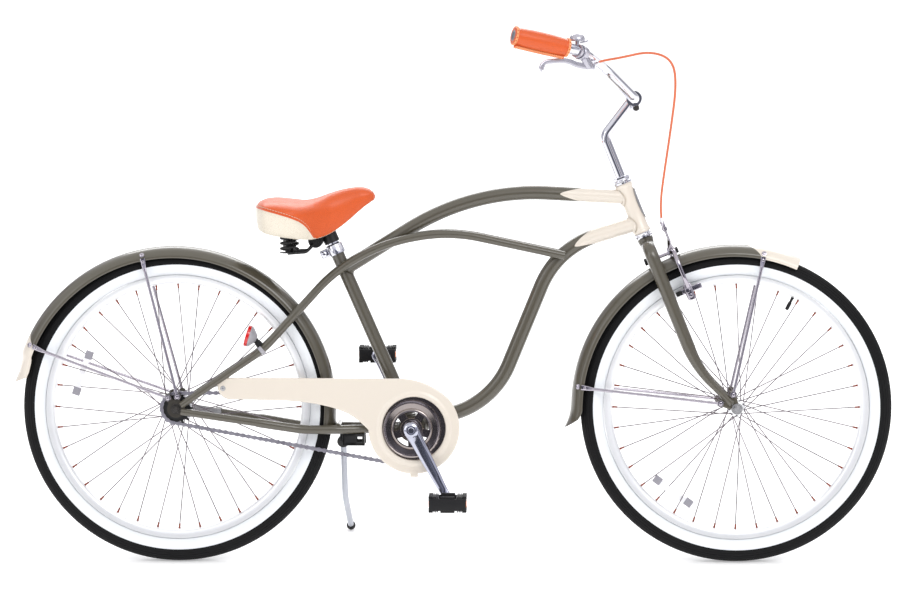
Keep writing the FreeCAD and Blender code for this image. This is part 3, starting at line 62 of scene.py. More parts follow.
AHEAD = Vector((1, 0, 0))
ACROSS = Vector((0, 1, 0))
UPWARD = Vector((0, 0, 1))
REAR_AXLE = Vector((0, 0, TYRE_OUTER))
FRONT_AXLE = Vector((WHEELBASE, 0, TYRE_OUTER))
CRANK_AXLE = Vector((502, 0, 288))


def slanted(degrees_back):
    """A mid-plane direction, tilted back from the vertical."""
    angle = math.radians(degrees_back)
    return Vector((-math.sin(angle), 0, math.cos(angle)))


HEAD_FOOT = Vector((999, 0, 695))
STEER_UP = slanted(21.9)
STEER_AHEAD = Vector((STEER_UP.z, 0, -STEER_UP.x))
SEAT_UP = slanted(23.7)
SEAT_FOOT = Vector((506, 0, 288))


def stance():
    """Leans the upright bicycle until both tyres and the stand's foot touch one floor."""
    level = STAND_FOOT.z - TYRE_SECTION
    reach = math.hypot(STAND_FOOT.y, level)
    lean = math.asin((TYRE_SECTION - STAND_FOOT_RADIUS) / reach) + math.atan2(level, STAND_FOOT.y)
    turn = Matrix.Rotation(-lean, 4, "X")
    floor = RING_CENTRE * math.cos(lean) + TYRE_SECTION
    drop = floor - (turn @ Vector((0, 0, TYRE_OUTER))).z
    shift = Vector((ORIGIN_AHEAD - WHEELBASE / 2, ORIGIN_LEFT, drop))
    return Matrix.Scale(MM, 4) @ Matrix.Translation(shift) @ turn


STANCE = stance()


def polar(radius, degrees, centre=Vector()):
    """A point in the mid-plane, at an angle from straight ahead."""
    angle = math.radians(degrees)
    return centre + Vector((radius * math.cos(angle), 0, radius * math.sin(angle)))


def steer(ahead, left, up):
    """A point from the lower headset: ahead of, beside and along the steering axis."""
    return HEAD_FOOT + STEER_AHEAD * ahead + ACROSS * left + STEER_UP * up


def on_seat_tube(height):
    return SEAT_FOOT + SEAT_UP * ((height - SEAT_FOOT.z) / SEAT_UP.z)


def flipped(point, side):
    """The point on the left half where side is 1, or its mirror image on the right half."""
    return Vector((point[0], point[1] * side, point[2]))


def at_side(y, point):
    """The point moved to another Y."""
    return Vector((point.x, y, point.z))


# Node trees

def feed(tree, socket, value):
    """Links a socket to another node's, or sets the value in its field."""
    if isinstance(value, bpy.types.NodeSocket):
        tree.links.new(value, socket)
    else:
        socket.default_value = value


def put(tree, kind, inputs=None, **settings):
    """A node with its settings, each input given a value or linked from a socket."""
    node = tree.nodes.new(kind)
    for key, value in settings.items():
        setattr(node, key, value)
    for key, value in (inputs or {}).items():
        feed(tree, node.inputs[key], value)
    return node


def calc(tree, operation, *values):
    """The result of a Math node."""
    return put(tree, "ShaderNodeMath", dict(enumerate(values)), operation=operation).outputs[0]


def blend_colours(tree, share, low, high, mode="MIX"):
    node = put(tree, "ShaderNodeMix", {0: share, 6: low, 7: high}, data_type="RGBA",
               blend_type=mode)
    return node.outputs[2]


def noise(tree, place, scale, detail, output="Fac"):
    node = put(tree, "ShaderNodeTexNoise", {"Vector": place, "Scale": scale, "Detail": detail})
    return node.outputs[output]


def span(tree, value, low, high):
    """How far a value has come on its way from low to high."""
    node = put(tree, "ShaderNodeMapRange", {"Value": value, "From Min": low, "From Max": high})
    return node.outputs[0]


def group(name, inputs, outputs):
    """A new shader group. inputs gives each socket its default, a colour or a number."""
    tree = bpy.data.node_groups.new(name, "ShaderNodeTree")
    for label, default in inputs.items():
        kind = "NodeSocketColor" if label == "Colour" else "NodeSocketFloat"
        socket = tree.interface.new_socket(label, in_out="INPUT", socket_type=kind)
        socket.default_value = default
    for label in outputs:
        kind = "NodeSocketColor" if label == "Colour" else "NodeSocketFloat"
        tree.interface.new_socket(label, in_out="OUTPUT", socket_type=kind)
    return tree, tree.nodes.new("NodeGroupInput").outputs, tree.nodes.new("NodeGroupOutput").inputs


def patina_group():
    """Handled paint, metal or plastic: broad tone changes, fine grain and uneven gloss."""
    tree, given, result = group(
        "patina", {"Colour": (0.5, 0.5, 0.5, 1), "Tone": 0.1, "Roughness": 0.4, "Uneven": 0.08,
                   "Grain": 900.0}, ("Colour", "Roughness", "Height"))
    place = tree.nodes.new("ShaderNodeTexCoord").outputs["Object"]
    share = calc(tree, "MULTIPLY", noise(tree, place, 9.0, 4.0), given["Tone"])
    darker = blend_colours(tree, 1.0, given["Colour"], (0.45, 0.43, 0.41, 1), "MULTIPLY")
    swing = calc(tree, "SUBTRACT", noise(tree, place, 46.0, 3.0), 0.5)
    rough = calc(tree, "MULTIPLY_ADD", swing, given["Uneven"], given["Roughness"])
    feed(tree, result["Colour"], blend_colours(tree, share, given["Colour"], darker))
    feed(tree, result["Roughness"], rough)
    feed(tree, result["Height"], noise(tree, place, given["Grain"], 2.0))
    return tree


def hide_group():
    """Leather: pebbles with creases between them, over soft folds."""
    tree, given, result = group("hide", {"Pebbles": 900.0}, ("Height", "Crease"))
    place = tree.nodes.new("ShaderNodeTexCoord").outputs["Object"]
    warp = noise(tree, place, 240.0, 2.0, "Color")
    bent = put(tree, "ShaderNodeVectorMath", {0: warp, 1: (0.002, 0.002, 0.002)},
               operation="MULTIPLY")
    moved = put(tree, "ShaderNodeVectorMath", {0: place, 1: bent.outputs[0]}, operation="ADD")
    cells = put(tree, "ShaderNodeTexVoronoi", {"Vector": moved.outputs[0], "Scale": given["Pebbles"]},
                feature="DISTANCE_TO_EDGE")
    crease = span(tree, cells.outputs["Distance"], 0.0, 0.16)
    feed(tree, result["Height"], calc(tree, "MULTIPLY_ADD", noise(tree, place, 60.0, 3.0), 0.5, crease))
    feed(tree, result["Crease"], crease)
    return tree


def split_group():
    """Where a second paint starts on a tube: it reaches back in a point on either side."""
    tree, given, result = group("pointed_split", {"Start": 0.1, "Point": 0.05}, ("Mask",))
    uv = put(tree, "ShaderNodeSeparateXYZ", {"Vector": tree.nodes.new("ShaderNodeUVMap").outputs[0]})
    wave = calc(tree, "COSINE", calc(tree, "MULTIPLY", uv.outputs["X"], 4 * math.pi))
    lobe = calc(tree, "POWER", calc(tree, "MULTIPLY_ADD", wave, -0.5, 0.5), 0.75)
    reach = calc(tree, "MULTIPLY_ADD", lobe, given["Point"], given["Start"])
    beyond = calc(tree, "SUBTRACT", uv.outputs["Y"], reach)
    crisp = calc(tree, "MULTIPLY_ADD", beyond, 3000.0, 0.5)
    feed(tree, result["Mask"], put(tree, "ShaderNodeClamp", {"Value": crisp}).outputs[0])
    return tree


PATINA = patina_group()
HIDE = hide_group()
SPLIT = split_group()
GRAIN_DEPTH = 0.0002
PEBBLE_DEPTH = 0.0003
# Painted shade for the leather's creases
CREASE_PAINTED_SHADE = (0.72, 0.66, 0.62, 1)


def finish(name, colour, roughness, metallic=0.0, tone=0.12, uneven=0.08, bump=0.05, coat=0.0,
           coat_roughness=0.1, second=None, split=None, mirror=0.5):
    """A finish with handled tone and gloss. A second colour starts where split says."""
    material = bpy.data.materials.new(name)
    material.use_nodes = True
    tree = material.node_tree
    base = (*colour, 1)
    if second:
        mask = put(tree, "ShaderNodeGroup", node_tree=SPLIT)
        mask.inputs["Start"].default_value, mask.inputs["Point"].default_value = split
        base = blend_colours(tree, mask.outputs["Mask"], base, (*second, 1))
    worn = put(tree, "ShaderNodeGroup", {"Colour": base, "Tone": tone, "Roughness": roughness,
                                         "Uneven": uneven}, node_tree=PATINA)
    relief = put(tree, "ShaderNodeBump", {"Height": worn.outputs["Height"], "Strength": bump,
                                          "Distance": GRAIN_DEPTH})
    shader = tree.nodes["Principled BSDF"]
    for key, value in (("Base Color", worn.outputs["Colour"]), ("Normal", relief.outputs[0]),
                       ("Roughness", worn.outputs["Roughness"]), ("Metallic", metallic),
                       ("Specular IOR Level", mirror), ("Coat Weight", coat),
                       ("Coat Roughness", coat_roughness)):
        feed(tree, shader.inputs[key], value)
    return material


def leather(name, colour, roughness, bump=0.35):
    """Pebbled leather with painted shade darkening its creases."""
    material = finish(name, colour, roughness, tone=0.25, uneven=0.15, mirror=0.4, coat=0.3,
                      coat_roughness=0.3)
    tree = material.node_tree
    shader = tree.nodes["Principled BSDF"]
    hide = put(tree, "ShaderNodeGroup", node_tree=HIDE)
    worn = shader.inputs["Base Color"].links[0].from_socket
    # Painted shade: the colour darkens in the creases between the pebbles.
    crease_shaded = blend_colours(tree, 1.0, worn, CREASE_PAINTED_SHADE, "MULTIPLY")
    relief = put(tree, "ShaderNodeBump", {"Height": hide.outputs["Height"], "Strength": bump,
                                          "Distance": PEBBLE_DEPTH})
    feed(tree, shader.inputs["Base Color"],
         blend_colours(tree, hide.outputs["Crease"], crease_shaded, worn))
    feed(tree, shader.inputs["Normal"], relief.outputs[0])
    return material


OLIVE = (0.076, 0.066, 0.044)
CREAM = (0.76, 0.69, 0.595)
ORANGE = (0.80, 0.112, 0.008)
# A darker copy of the olive paint for the dropouts: painted shade, where the same olive paint lies in
# shadow.
olive_painted_shade = finish("painted_shade_olive_paint", (0.036, 0.031, 0.023), 0.36, tone=0.2, coat=0.3)
olive_paint = finish("olive_paint", OLIVE, 0.36, tone=0.12, coat=0.9, coat_roughness=0.14)
cream_paint = finish("cream_paint", CREAM, 0.28, tone=0.01, uneven=0.02, coat=0.5,
                     coat_roughness=0.08)
chrome = finish("chrome", (0.72, 0.72, 0.77), 0.06, 1.0, tone=0.05, uneven=0.05, bump=0.01)
steel = finish("zinc_steel", (0.52, 0.52, 0.53), 0.36, 1.0, tone=0.3, uneven=0.2)
dark_steel = finish("dark_steel", (0.09, 0.085, 0.08), 0.42, 1.0, tone=0.4, uneven=0.25)
bright_wire = finish("bright_wire", (0.24, 0.21, 0.23), 0.28, 1.0, tone=0.2)
# A darker, purplish copy of the chrome for the stay rods and the brake caliper: painted shade and
# painted reflection on chrome parts.
stay_chrome_painted_shade = finish("stay_chrome_painted_shade", (0.46, 0.43, 0.48), 0.12, 1.0, tone=0.1, uneven=0.05,
                     bump=0.01)
brass = finish("brass", (0.28, 0.07, 0.045), 0.35, 0.6, tone=0.3)
rim_silver = finish("rim_silver", (0.92, 0.93, 0.94), 0.32, 0.55, tone=0.04, uneven=0.06)
rubber = finish("tread_rubber", (0.006, 0.006, 0.0065), 0.7, mirror=0.2, tone=0.3, uneven=0.15,
                bump=0.3)
white_rubber = finish("white_rubber", (0.84, 0.865, 0.885), 0.5, tone=0.03, uneven=0.1, bump=0.2)
black_plastic = finish("black_plastic", (0.010, 0.010, 0.011), 0.45, mirror=0.3, tone=0.3,
                       bump=0.3)
black_metal = finish("black_metal", (0.02, 0.02, 0.02), 0.35, 0.4, tone=0.2)
amber = finish("amber_lens", (0.85, 0.20, 0.02), 0.18, coat=0.6)
red_lens = finish("red_lens", (0.62, 0.01, 0.01), 0.15, coat=0.7)
orange_jacket = finish("orange_jacket", (0.72, 0.16, 0.06), 0.5, tone=0.3, bump=0.4)
orange_leather = leather("orange_leather", ORANGE, 0.36)
cream_leather = leather("cream_leather", (0.92, 0.86, 0.72), 0.38, bump=0.25)
thread = finish("waxed_thread", (0.70, 0.55, 0.42), 0.6, tone=0.2)
grey_plug = finish("grey_plug", (0.20, 0.21, 0.24), 0.4)
chain_steel = finish("chain_steel", (0.54, 0.52, 0.59), 0.3, 1.0, tone=0.3, uneven=0.2)
stand_silver = finish("stand_silver", (0.50, 0.52, 0.57), 0.4, 0.5, tone=0.1)
satin_silver = finish("satin_silver", (0.52, 0.51, 0.57), 0.27, 0.75, tone=0.15, bump=0.02)
lens_grey = finish("lens_grey", (0.42, 0.41, 0.44), 0.35, 0.3, tone=0.15)
clear_plastic = finish("clear_reflector", (0.90, 0.90, 0.92), 0.2, tone=0.03, coat=0.6)
clip_plastic = finish("clip_plastic", (0.33, 0.32, 0.36), 0.5, tone=0.3)
lace_leather = finish("lace_leather", (0.95, 0.40, 0.17), 0.5, tone=0.3, bump=0.3)
# A darker, bluer copy of the chrome for the crank arms: painted reflection of a dark room.
arm_chrome_painted_reflection = finish("arm_chrome_painted_reflection", (0.50, 0.51, 0.60), 0.10, 1.0, tone=0.15, uneven=0.05,
                    bump=0.01)
# A darker, warmer copy of the chrome for the chainring: painted shade and painted warm reflection.
ring_plate_painted_shade = finish("ring_plate_painted_shade", (0.34, 0.30, 0.29), 0.10, 1.0, tone=0.3)

# Meshes

CORNER_ANGLE = 0.9
BOX_FACES = ((0, 1, 3, 2), (4, 6, 7, 5), (0, 4, 5, 1), (2, 3, 7, 6), (0, 2, 6, 4), (1, 5, 7, 3))


def circle(radius, sectors=28):
    return [(radius * math.cos(2 * math.pi * step / sectors),
             radius * math.sin(2 * math.pi * step / sectors)) for step in range(sectors)]


def outward(mesh, bevel=0):
    """Joins points that meet, turns every face outwards, and bevels the sharp corners."""
    shell = bmesh.new()
    shell.from_mesh(mesh)
    bmesh.ops.remove_doubles(shell, verts=shell.verts, dist=SAME_PLACE)
    bmesh.ops.recalc_face_normals(shell, faces=shell.faces)
    if bevel:
        corners = [edge for edge in shell.edges if edge.calc_face_angle(0) > CORNER_ANGLE]
        bmesh.ops.bevel(shell, geom=corners, offset=bevel * MM, segments=2, affect="EDGES",
                        profile=0.6)
    shell.to_mesh(mesh)
    shell.free()


def show(mesh, name, body, slot, stands_for=(), sharp=34):
    """Puts a finished mesh in the scene on its body."""
    mesh.shade_smooth()
    mesh.set_sharp_from_angle(angle=math.radians(sharp))
    piece = bpy.data.objects.new(name, mesh)
    bpy.context.collection.objects.link(piece)
    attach(piece, body)
    if stands_for:
        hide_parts(*stands_for)
    return piece


class Shell:
    """One piece's points, faces and UVs, gathered on the upright bicycle in millimetres."""

    def __init__(self):
        self.points = []
        self.faces = []
        self.uvs = []
        self.marks = []

    def face(self, corners, mark=0, uvs=None):
        """A face between numbered points. mark picks its finish."""
        self.faces.append(tuple(corners))
        self.uvs.append(uvs or [(0, 0)] * len(corners))
        self.marks.append(mark)

    def grid(self, rows, mark=0, wrap=True, close=False, capped=False):
        """Joins rows of points. wrap closes each row, close joins the last row to the first."""
        first = len(self.points)
        count = len(rows[0])
        marks = mark if isinstance(mark, list) else [mark] * len(rows)
        for row in rows:
            self.points += row
        reach = [0.0]
        for low, high in zip(rows, rows[1:] + rows[:1]):
            reach.append(reach[-1] + (high[0] - low[0]).length * MM)
        for i in range(len(rows) - 1 + close):
            here = first + i * count
            there = first + (i + 1) % len(rows) * count
            for j in range(count - 1 + wrap):
                beside = (j + 1) % count
                self.face((here + j, here + beside, there + beside, there + j), marks[i],
                          [(j / count, reach[i]), ((j + 1) / count, reach[i]),
                           ((j + 1) / count, reach[i + 1]), (j / count, reach[i + 1])])
        if capped:
            for row, v in ((0, 0.0), (len(rows) - 1, reach[-2])):
                start = first + row * count
                centre = len(self.points)
                self.points.append(sum(rows[row], Vector()) / count)
                for j in range(count):
                    self.face((start + j, start + (j + 1) % count, centre), marks[row],
                              [(j / count, v), ((j + 1) / count, v), (j / count, v)])

    def fold(self, first, count, marks=None, v=0):
        """Closes a ring of points by joining one half of it to the other."""
        for j in range(count // 2):
            self.face((first + j, first + j + 1, first + count - 2 - j, first + count - 1 - j),
                      marks[j] if marks else 0, [(0, v)] * 4)

    def sweep(self, path, outline, side=ACROSS):
        """Carries an outline of (beside, above) pairs along a path; it may change on the way."""
        rows = []
        last = len(path) - 1
        for index, point in enumerate(path):
            way = (path[min(index + 1, last)] - path[max(index - 1, 0)]).normalized()
            beside = (side - way * side.dot(way)).normalized()
            above = way.cross(beside)
            pairs = outline(index / last) if callable(outline) else outline
            rows.append([point + beside * a + above * b for a, b in pairs])
        self.grid(rows, capped=True)

    def tube(self, path, radius, side=ACROSS, sectors=28):
        self.sweep(path, circle(radius, sectors), side)

    def lathe(self, profile, centre, axis=ACROSS, sectors=72, mark=0, close=False):
        """Turns (radius, height) pairs about an axis."""
        axis = axis.normalized()
        ahead = AHEAD if abs(axis.x) < 0.8 else UPWARD
        ahead = (ahead - axis * ahead.dot(axis)).normalized()
        up = axis.cross(ahead)
        self.grid([[centre + axis * height + ahead * a + up * b for a, b in circle(radius, sectors)]
                   for radius, height in profile], mark, close=close)

    def block(self, centre, half):
        """A box, given by its centre and half sizes."""
        first = len(self.points)
        self.points += [centre + Vector((x * half[0], y * half[1], z * half[2]))
                        for x in (-1, 1) for y in (-1, 1) for z in (-1, 1)]
        for corners in BOX_FACES:
            self.face([first + corner for corner in corners])

    def plate(self, outline, low, high, inset):
        """A flat plate in the bicycle's own plane, from one Y to another, edges eased by inset."""
        middle = sum(outline, Vector()) / len(outline)
        rows = []
        for y, ease in ((low, inset), (low + inset, 0), (high - inset, 0), (high, inset)):
            row = []
            for index, point in enumerate(outline):
                run = outline[(index + 1) % len(outline)] - outline[index - 1]
                out = Vector((run.z, 0, -run.x)).normalized()
                if out.dot(point - middle) < 0 and not ease:
                    out = -out
                row.append(at_side(y, point - out * ease))
            rows.append(row)
        self.grid(rows)
        for row in (rows[0], rows[-1]):
            first = len(self.points)
            self.points += row
            self.face(range(first, first + len(row)))

    def make(self, name, body, slot, finishes, stands_for=(), sharp=34, bevel=0):
        mesh = bpy.data.meshes.new(name)
        mesh.from_pydata([STANCE @ point for point in self.points], [], self.faces)
        for material in finishes:
            mesh.materials.append(material)
        mesh.polygons.foreach_set("material_index", self.marks)
        layer = mesh.uv_layers.new(name="surface")
        layer.data.foreach_set("uv", [value for uvs in self.uvs for pair in uvs for value in pair])
        outward(mesh, bevel)
        return show(mesh, name, body, slot, stands_for, sharp)


# Turned profiles, as (radius, height) pairs

def rod(radius, low, high):
    return [(0, low), (radius, low), (radius, high), (0, high)]


def both_ways(profile):
    """A profile from one end to its middle, and on through its mirror image."""
    return profile + [(radius, -height) for radius, height in reversed(profile) if height]


# Lines of points

def rounded(points, radii, step):
    """Straight runs between the points, joined by tangent arcs of the given radii."""
    path = [points[0]]
    for before, corner, after, radius in zip(points, points[1:], points[2:], radii):
        back = (before - corner).normalized()
        ahead = (after - corner).normalized()
        half = back.angle(ahead) / 2
        room = 0.49 * min((before - corner).length, (after - corner).length)
        reach = min(radius / math.tan(half), room)
        bend = reach * math.tan(half)
        centre = corner + (back + ahead).normalized() * (bend / math.sin(half))
        arm = corner + back * reach - centre
        turn = math.pi - 2 * half
        axis = ahead.cross(back)
        count = max(2, math.ceil(bend * turn / step))
        for index in range(count + 1):
            path.append(centre + Quaternion(axis, turn * index / count) @ arm)
    path.append(points[-1])
    return path


def arc(radius, start, end, centre, step):
    count = max(2, math.ceil(abs(end - start) / step))
    return [polar(radius, start + (end - start) * index / count, centre)
            for index in range(count + 1)]


def spaced(line, count):
    """Evenly spread points on a line of points."""
    lengths = [0.0]
    for low, high in zip(line, line[1:]):
        lengths.append(lengths[-1] + (high - low).length)
    spread = []
    index = 0
    for step in range(count + 1):
        reach = lengths[-1] * step / count
        while index < len(line) - 2 and lengths[index + 1] < reach:
            index += 1
        share = (reach - lengths[index]) / (lengths[index + 1] - lengths[index])
        spread.append(line[index].lerp(line[index + 1], min(max(share, 0), 1)))
    return spread


def smooth_line(points, count):
    """Evenly spread points on the smooth line that the given points pull along."""
    curve = bpy.data.curves.new("route", "CURVE")
    curve.dimensions = "3D"
    curve.resolution_u = 24
    spline = curve.splines.new("NURBS")
    spline.points.add(len(points) - 1)
    for target, point in zip(spline.points, points):
        target.co = (*point, 1)
    spline.order_u = 3
    spline.use_endpoint_u = True
    holder = bpy.data.objects.new("route", curve)
    line = [vertex.co.copy() for vertex in bpy.data.meshes.new_from_object(holder).vertices]
    bpy.data.objects.remove(holder)
    bpy.data.curves.remove(curve)
    return spaced(line, count)


def path_length(path):
    return sum((high - low).length for low, high in zip(path, path[1:]))


# Geometry Nodes that repeat a shape

def repeating_tree(name, sockets):
    """A new tree and its inputs: the geometry, the given sockets and a material."""
    tree = bpy.data.node_groups.new(name, "GeometryNodeTree")
    for label, kind in (("Geometry", "Geometry"), *sockets, ("Material", "Material")):
        tree.interface.new_socket(label, in_out="INPUT", socket_type="NodeSocket" + kind)
    tree.interface.new_socket("Geometry", in_out="OUTPUT", socket_type="NodeSocketGeometry")
    return tree, tree.nodes.new("NodeGroupInput").outputs


def give_copies(tree, given, places, shape, rotation):
    """Puts a shape on every place, and gives it all out as one mesh in one material."""
    copies = put(tree, "GeometryNodeInstanceOnPoints", {
        "Points": places, "Instance": shape.outputs["Geometry"], "Rotation": rotation.outputs[0]})
    real = put(tree, "GeometryNodeRealizeInstances", {"Geometry": copies.outputs[0]})
    coated = put(tree, "GeometryNodeSetMaterial", {"Geometry": real.outputs[0],
                                                   "Material": given["Material"]})
    tree.links.new(coated.outputs[0], tree.nodes.new("NodeGroupOutput").inputs[0])
    return tree


def ring_tree():
    """Copies of a shape turned in even steps about an axis, such as a wheel's spokes."""
    tree, given = repeating_tree("around_axle", (
        ("Copies", "Int"), ("Centre", "Vector"), ("Axis", "Vector")))
    spots = put(tree, "GeometryNodePoints", {"Count": given["Copies"], "Position": given["Centre"]})
    step = calc(tree, "DIVIDE", 2 * math.pi, given["Copies"])
    angle = calc(tree, "MULTIPLY", tree.nodes.new("GeometryNodeInputIndex").outputs[0], step)
    turn = put(tree, "FunctionNodeAxisAngleToRotation", {"Axis": given["Axis"], "Angle": angle})
    back = put(tree, "ShaderNodeVectorMath", {0: given["Centre"], "Scale": -1.0}, operation="SCALE")
    centred = put(tree, "GeometryNodeTransform", {"Geometry": given["Geometry"],
                                                  "Translation": back.outputs[0]})
    return give_copies(tree, given, spots.outputs[0], centred, turn)


def line_tree():
    """Copies of a shape along a line of points, each turned to follow it."""
    tree, given = repeating_tree("along_line", (("Shape", "Object"), ("Side", "Vector")))
    shape = put(tree, "GeometryNodeObjectInfo", {"Object": given["Shape"]})
    way = put(tree, "GeometryNodeInputNamedAttribute", {"Name": "way"}, data_type="FLOAT_VECTOR")
    first = put(tree, "FunctionNodeAlignRotationToVector", {"Vector": way.outputs[0]}, axis="X")
    second = put(tree, "FunctionNodeAlignRotationToVector",
                 {"Rotation": first.outputs[0], "Vector": given["Side"]}, axis="Y", pivot_axis="X")
    return give_copies(tree, given, given["Geometry"], shape, second)


AROUND = ring_tree()
ALONG = line_tree()


def grown(mesh, tree, values, name):
    """The plain mesh that a node tree makes from a mesh."""
    holder = bpy.data.objects.new(name, mesh)
    bpy.context.collection.objects.link(holder)
    modifier = holder.modifiers.new("grow", "NODES")
    modifier.node_group = tree
    for item in tree.interface.items_tree:
        if item.in_out == "INPUT" and item.name in values:
            modifier[item.identifier] = values[item.name]
    bpy.context.view_layer.update()
    ready = holder.evaluated_get(bpy.context.evaluated_depsgraph_get())
    result = bpy.data.meshes.new_from_object(ready)
    result.name = name
    holder.modifiers.remove(modifier)
    bpy.data.objects.remove(holder)
    return result


def line_of(shape, spots, name, body, slot, material, side=ACROSS, **more):
    """Repeats a small shape at each (point, way) of a list. The shape points along X."""
    mesh = bpy.data.meshes.new(name + "_shape")
    mesh.from_pydata([point * MM for point in shape.points], [], shape.faces)
    outward(mesh)
    pattern = bpy.data.objects.new(name + "_shape", mesh)
    bpy.context.collection.objects.link(pattern)
    places = bpy.data.meshes.new(name)
    places.from_pydata([STANCE @ point for point, way in spots], [], [])
    lean = STANCE.to_3x3()
    headings = places.attributes.new("way", "FLOAT_VECTOR", "POINT")
    headings.data.foreach_set("vector", [value for point, way in spots
                                         for value in (lean @ way).normalized()])
    values = {"Shape": pattern, "Side": (lean @ side).normalized(), "Material": material}
    result = grown(places, ALONG, values, name)
    bpy.data.objects.remove(pattern)
    return show(result, name, body, slot, **more)


def ring_of(shell, copies, centre, name, body, slot, material, **more):
    """Repeats a shell about an axle and shows the result."""
    mesh = bpy.data.meshes.new(name)
    mesh.from_pydata([STANCE @ point for point in shell.points], [], shell.faces)
    outward(mesh)
    values = {"Copies": copies, "Centre": STANCE @ centre, "Material": material,
              "Axis": (STANCE.to_3x3() @ ACROSS).normalized()}
    return show(grown(mesh, AROUND, values, name), name, body, slot, **more)


# Wheels

TREAD_HALF = 87
RIB_COUNT = 11
GROOVE = 0.9
WALL_END = 146
WALL_RINGS = 10
SPOKE_RADIUS = 1.15
SPOKE_SETS = 9


def tyre_profile():
    """The tyre's section from bead to bead, with a ribbed tread, and a mark for each stretch."""
    profile = []
    marks = []

    def ring(degrees, depth, mark):
        angle = math.radians(degrees)
        size = TYRE_SECTION - depth
        profile.append((RING_CENTRE + size * math.cos(angle), size * math.sin(angle)))
        marks.append(mark)

    wall = [(WALL_END - TREAD_HALF - 3) * step / (WALL_RINGS - 1) for step in range(WALL_RINGS)]
    for degrees in wall:
        ring(degrees - WALL_END, GROOVE, 1)
    ring(-TREAD_HALF - 1.5, GROOVE, 0)
    ring(-TREAD_HALF, 0, 0)
    ring(-TREAD_HALF + 9, 0, 0)
    ribbed = TREAD_HALF - 14
    for rib in range(RIB_COUNT):
        for share, depth in ((0.10, GROOVE), (0.20, 0), (0.90, 0), (1.00, GROOVE)):
            ring(2 * ribbed * (rib + share) / RIB_COUNT - ribbed, depth, 0)
    ring(TREAD_HALF - 9, 0, 0)
    ring(TREAD_HALF, 0, 0)
    ring(TREAD_HALF + 1.5, GROOVE, 1)
    for degrees in wall:
        ring(TREAD_HALF + 3 + degrees, GROOVE, 1)
    return profile, marks


RIM_PROFILE = [(283, 16.6), (282.5, 17), (281, 17), (277, 16.6), (271, 16.2), (268.6, 15),
               (266.6, 13), (265, 10.5), (264.2, 7), (RIM_INNER, 3)]


def wheel(name, axle, flange, flange_half, body):
    profile, marks = tyre_profile()
    tyre = Shell()
    tyre.lathe(profile, axle, sectors=180, mark=marks, close=True)
    tyre.make(name + "_tyre_ribbed", body, "tyre", [rubber, white_rubber],
              [name + "_tyre"], sharp=28)
    rim = Shell()
    rim.lathe(both_ways(RIM_PROFILE) + [(278, -13), (276, -10), (276, 10), (278, 13)], axle,
              sectors=144, close=True)
    rim.make(name + "_rim_shell", body, "rim", [rim_silver], [name + "_rim"])

    wire = Shell()
    nipple = Shell()
    for index in range(4):
        side = 1 if index % 2 else -1
        turn = 1 if index // 2 else -1
        hub_point = polar(flange - 2.5, 10 * index + turn * 48, axle)
        hub_point.y = side * (flange_half + turn * 2.9)
        rim_point = polar(RIM_INNER - NIPPLE_GAP, 10 * index, axle)
        rim_point.y = side * 4
        run = (rim_point - hub_point).normalized()
        elbow = hub_point - ACROSS * (side * turn * 4.6)
        wire.tube([elbow, hub_point - ACROSS * (side * turn * 0.9) + run * 0.4,
                   hub_point + run * 2.5, rim_point], SPOKE_RADIUS, sectors=8,
                  side=polar(1, 10 * index + 17))
        wire.lathe([(0, -1.2), (1.9, -0.9), (1.9, 0), (0, 0.3)], elbow, sectors=8)
        nipple.lathe([(0, -10), (1.7, -10), (1.9, -9.4), (1.9, -3), (2.4, -2), (2.4, 0.2)],
                     rim_point, run, sectors=10)
    ring_of(wire, SPOKE_SETS, axle, name + "_spoke_wires", body, "spoke", bright_wire,
            stands_for=[name + "_spokes"])
    ring_of(nipple, SPOKE_SETS, axle, name + "_nipples", body, "spoke", brass)


wheel("rear", REAR_AXLE, 30, 29, "rear_wheel")
wheel("front", FRONT_AXLE, 19, 30, "front_wheel")

# Frame tubes

def table_value(table, at, column):
    """Reads a column of a table at a place between its rows, along a smooth curve."""
    places = [row[0] for row in table]
    values = [row[column] for row in table]
    if at <= places[0]:
        return values[0]
    for i in range(len(places) - 1):
        if at <= places[i + 1]:
            share = (at - places[i]) / (places[i + 1] - places[i])
            before = values[max(i - 1, 0)]
            after = values[min(i + 2, len(values) - 1)]
            low, high = values[i], values[i + 1]
            return low + share * 0.5 * (high - before + share * (
                2 * before - 5 * low + 4 * high - after + share * (3 * (low - high) + after - before)))
    return values[-1]


def meet(start, start_angle, end, end_angle):
    """Where two lines of the mid-plane cross, each given by a point and its angle."""
    first = polar(1, start_angle)
    second = polar(1, end_angle)
    gap = end - start
    along = (gap.x * second.z - gap.z * second.x) / (first.x * second.z - first.z * second.x)
    return start + first * along


HEAD_LOW = 12
HEAD_HIGH = 123
TOP_RADIUS = 15
DOWN_RADIUS = 15.9
HEAD_RADIUS = 17
SEAT_RADIUS = 14.3
SIDE_RADIUS = 9
STAY_RADIUS = 9.5
SHELL_RADIUS = 28
TOP_SEAT_SLOPE = 32
TOP_HEAD_SLOPE = -3
DOWN_HEAD_SLOPE = 16.9
DOWN_FOOT_SLOPE = 18.8
TOP_SEAT = on_seat_tube(627)
TOP_HEAD = HEAD_FOOT + STEER_UP * 93
top_bend = meet(TOP_SEAT, TOP_SEAT_SLOPE, TOP_HEAD, TOP_HEAD_SLOPE)
top_path = rounded([TOP_SEAT, top_bend, TOP_HEAD], [650], 5)
DOWN_HEAD = HEAD_FOOT + STEER_UP * 34
down_high = polar(182, 180 + DOWN_HEAD_SLOPE, DOWN_HEAD)
down_low = polar(186, DOWN_FOOT_SLOPE, CRANK_AXLE)
down_path = rounded([CRANK_AXLE, down_low, down_high, DOWN_HEAD], [180, 230], 4)
side_pass = on_seat_tube(628) + Vector((-17, 0, 0))
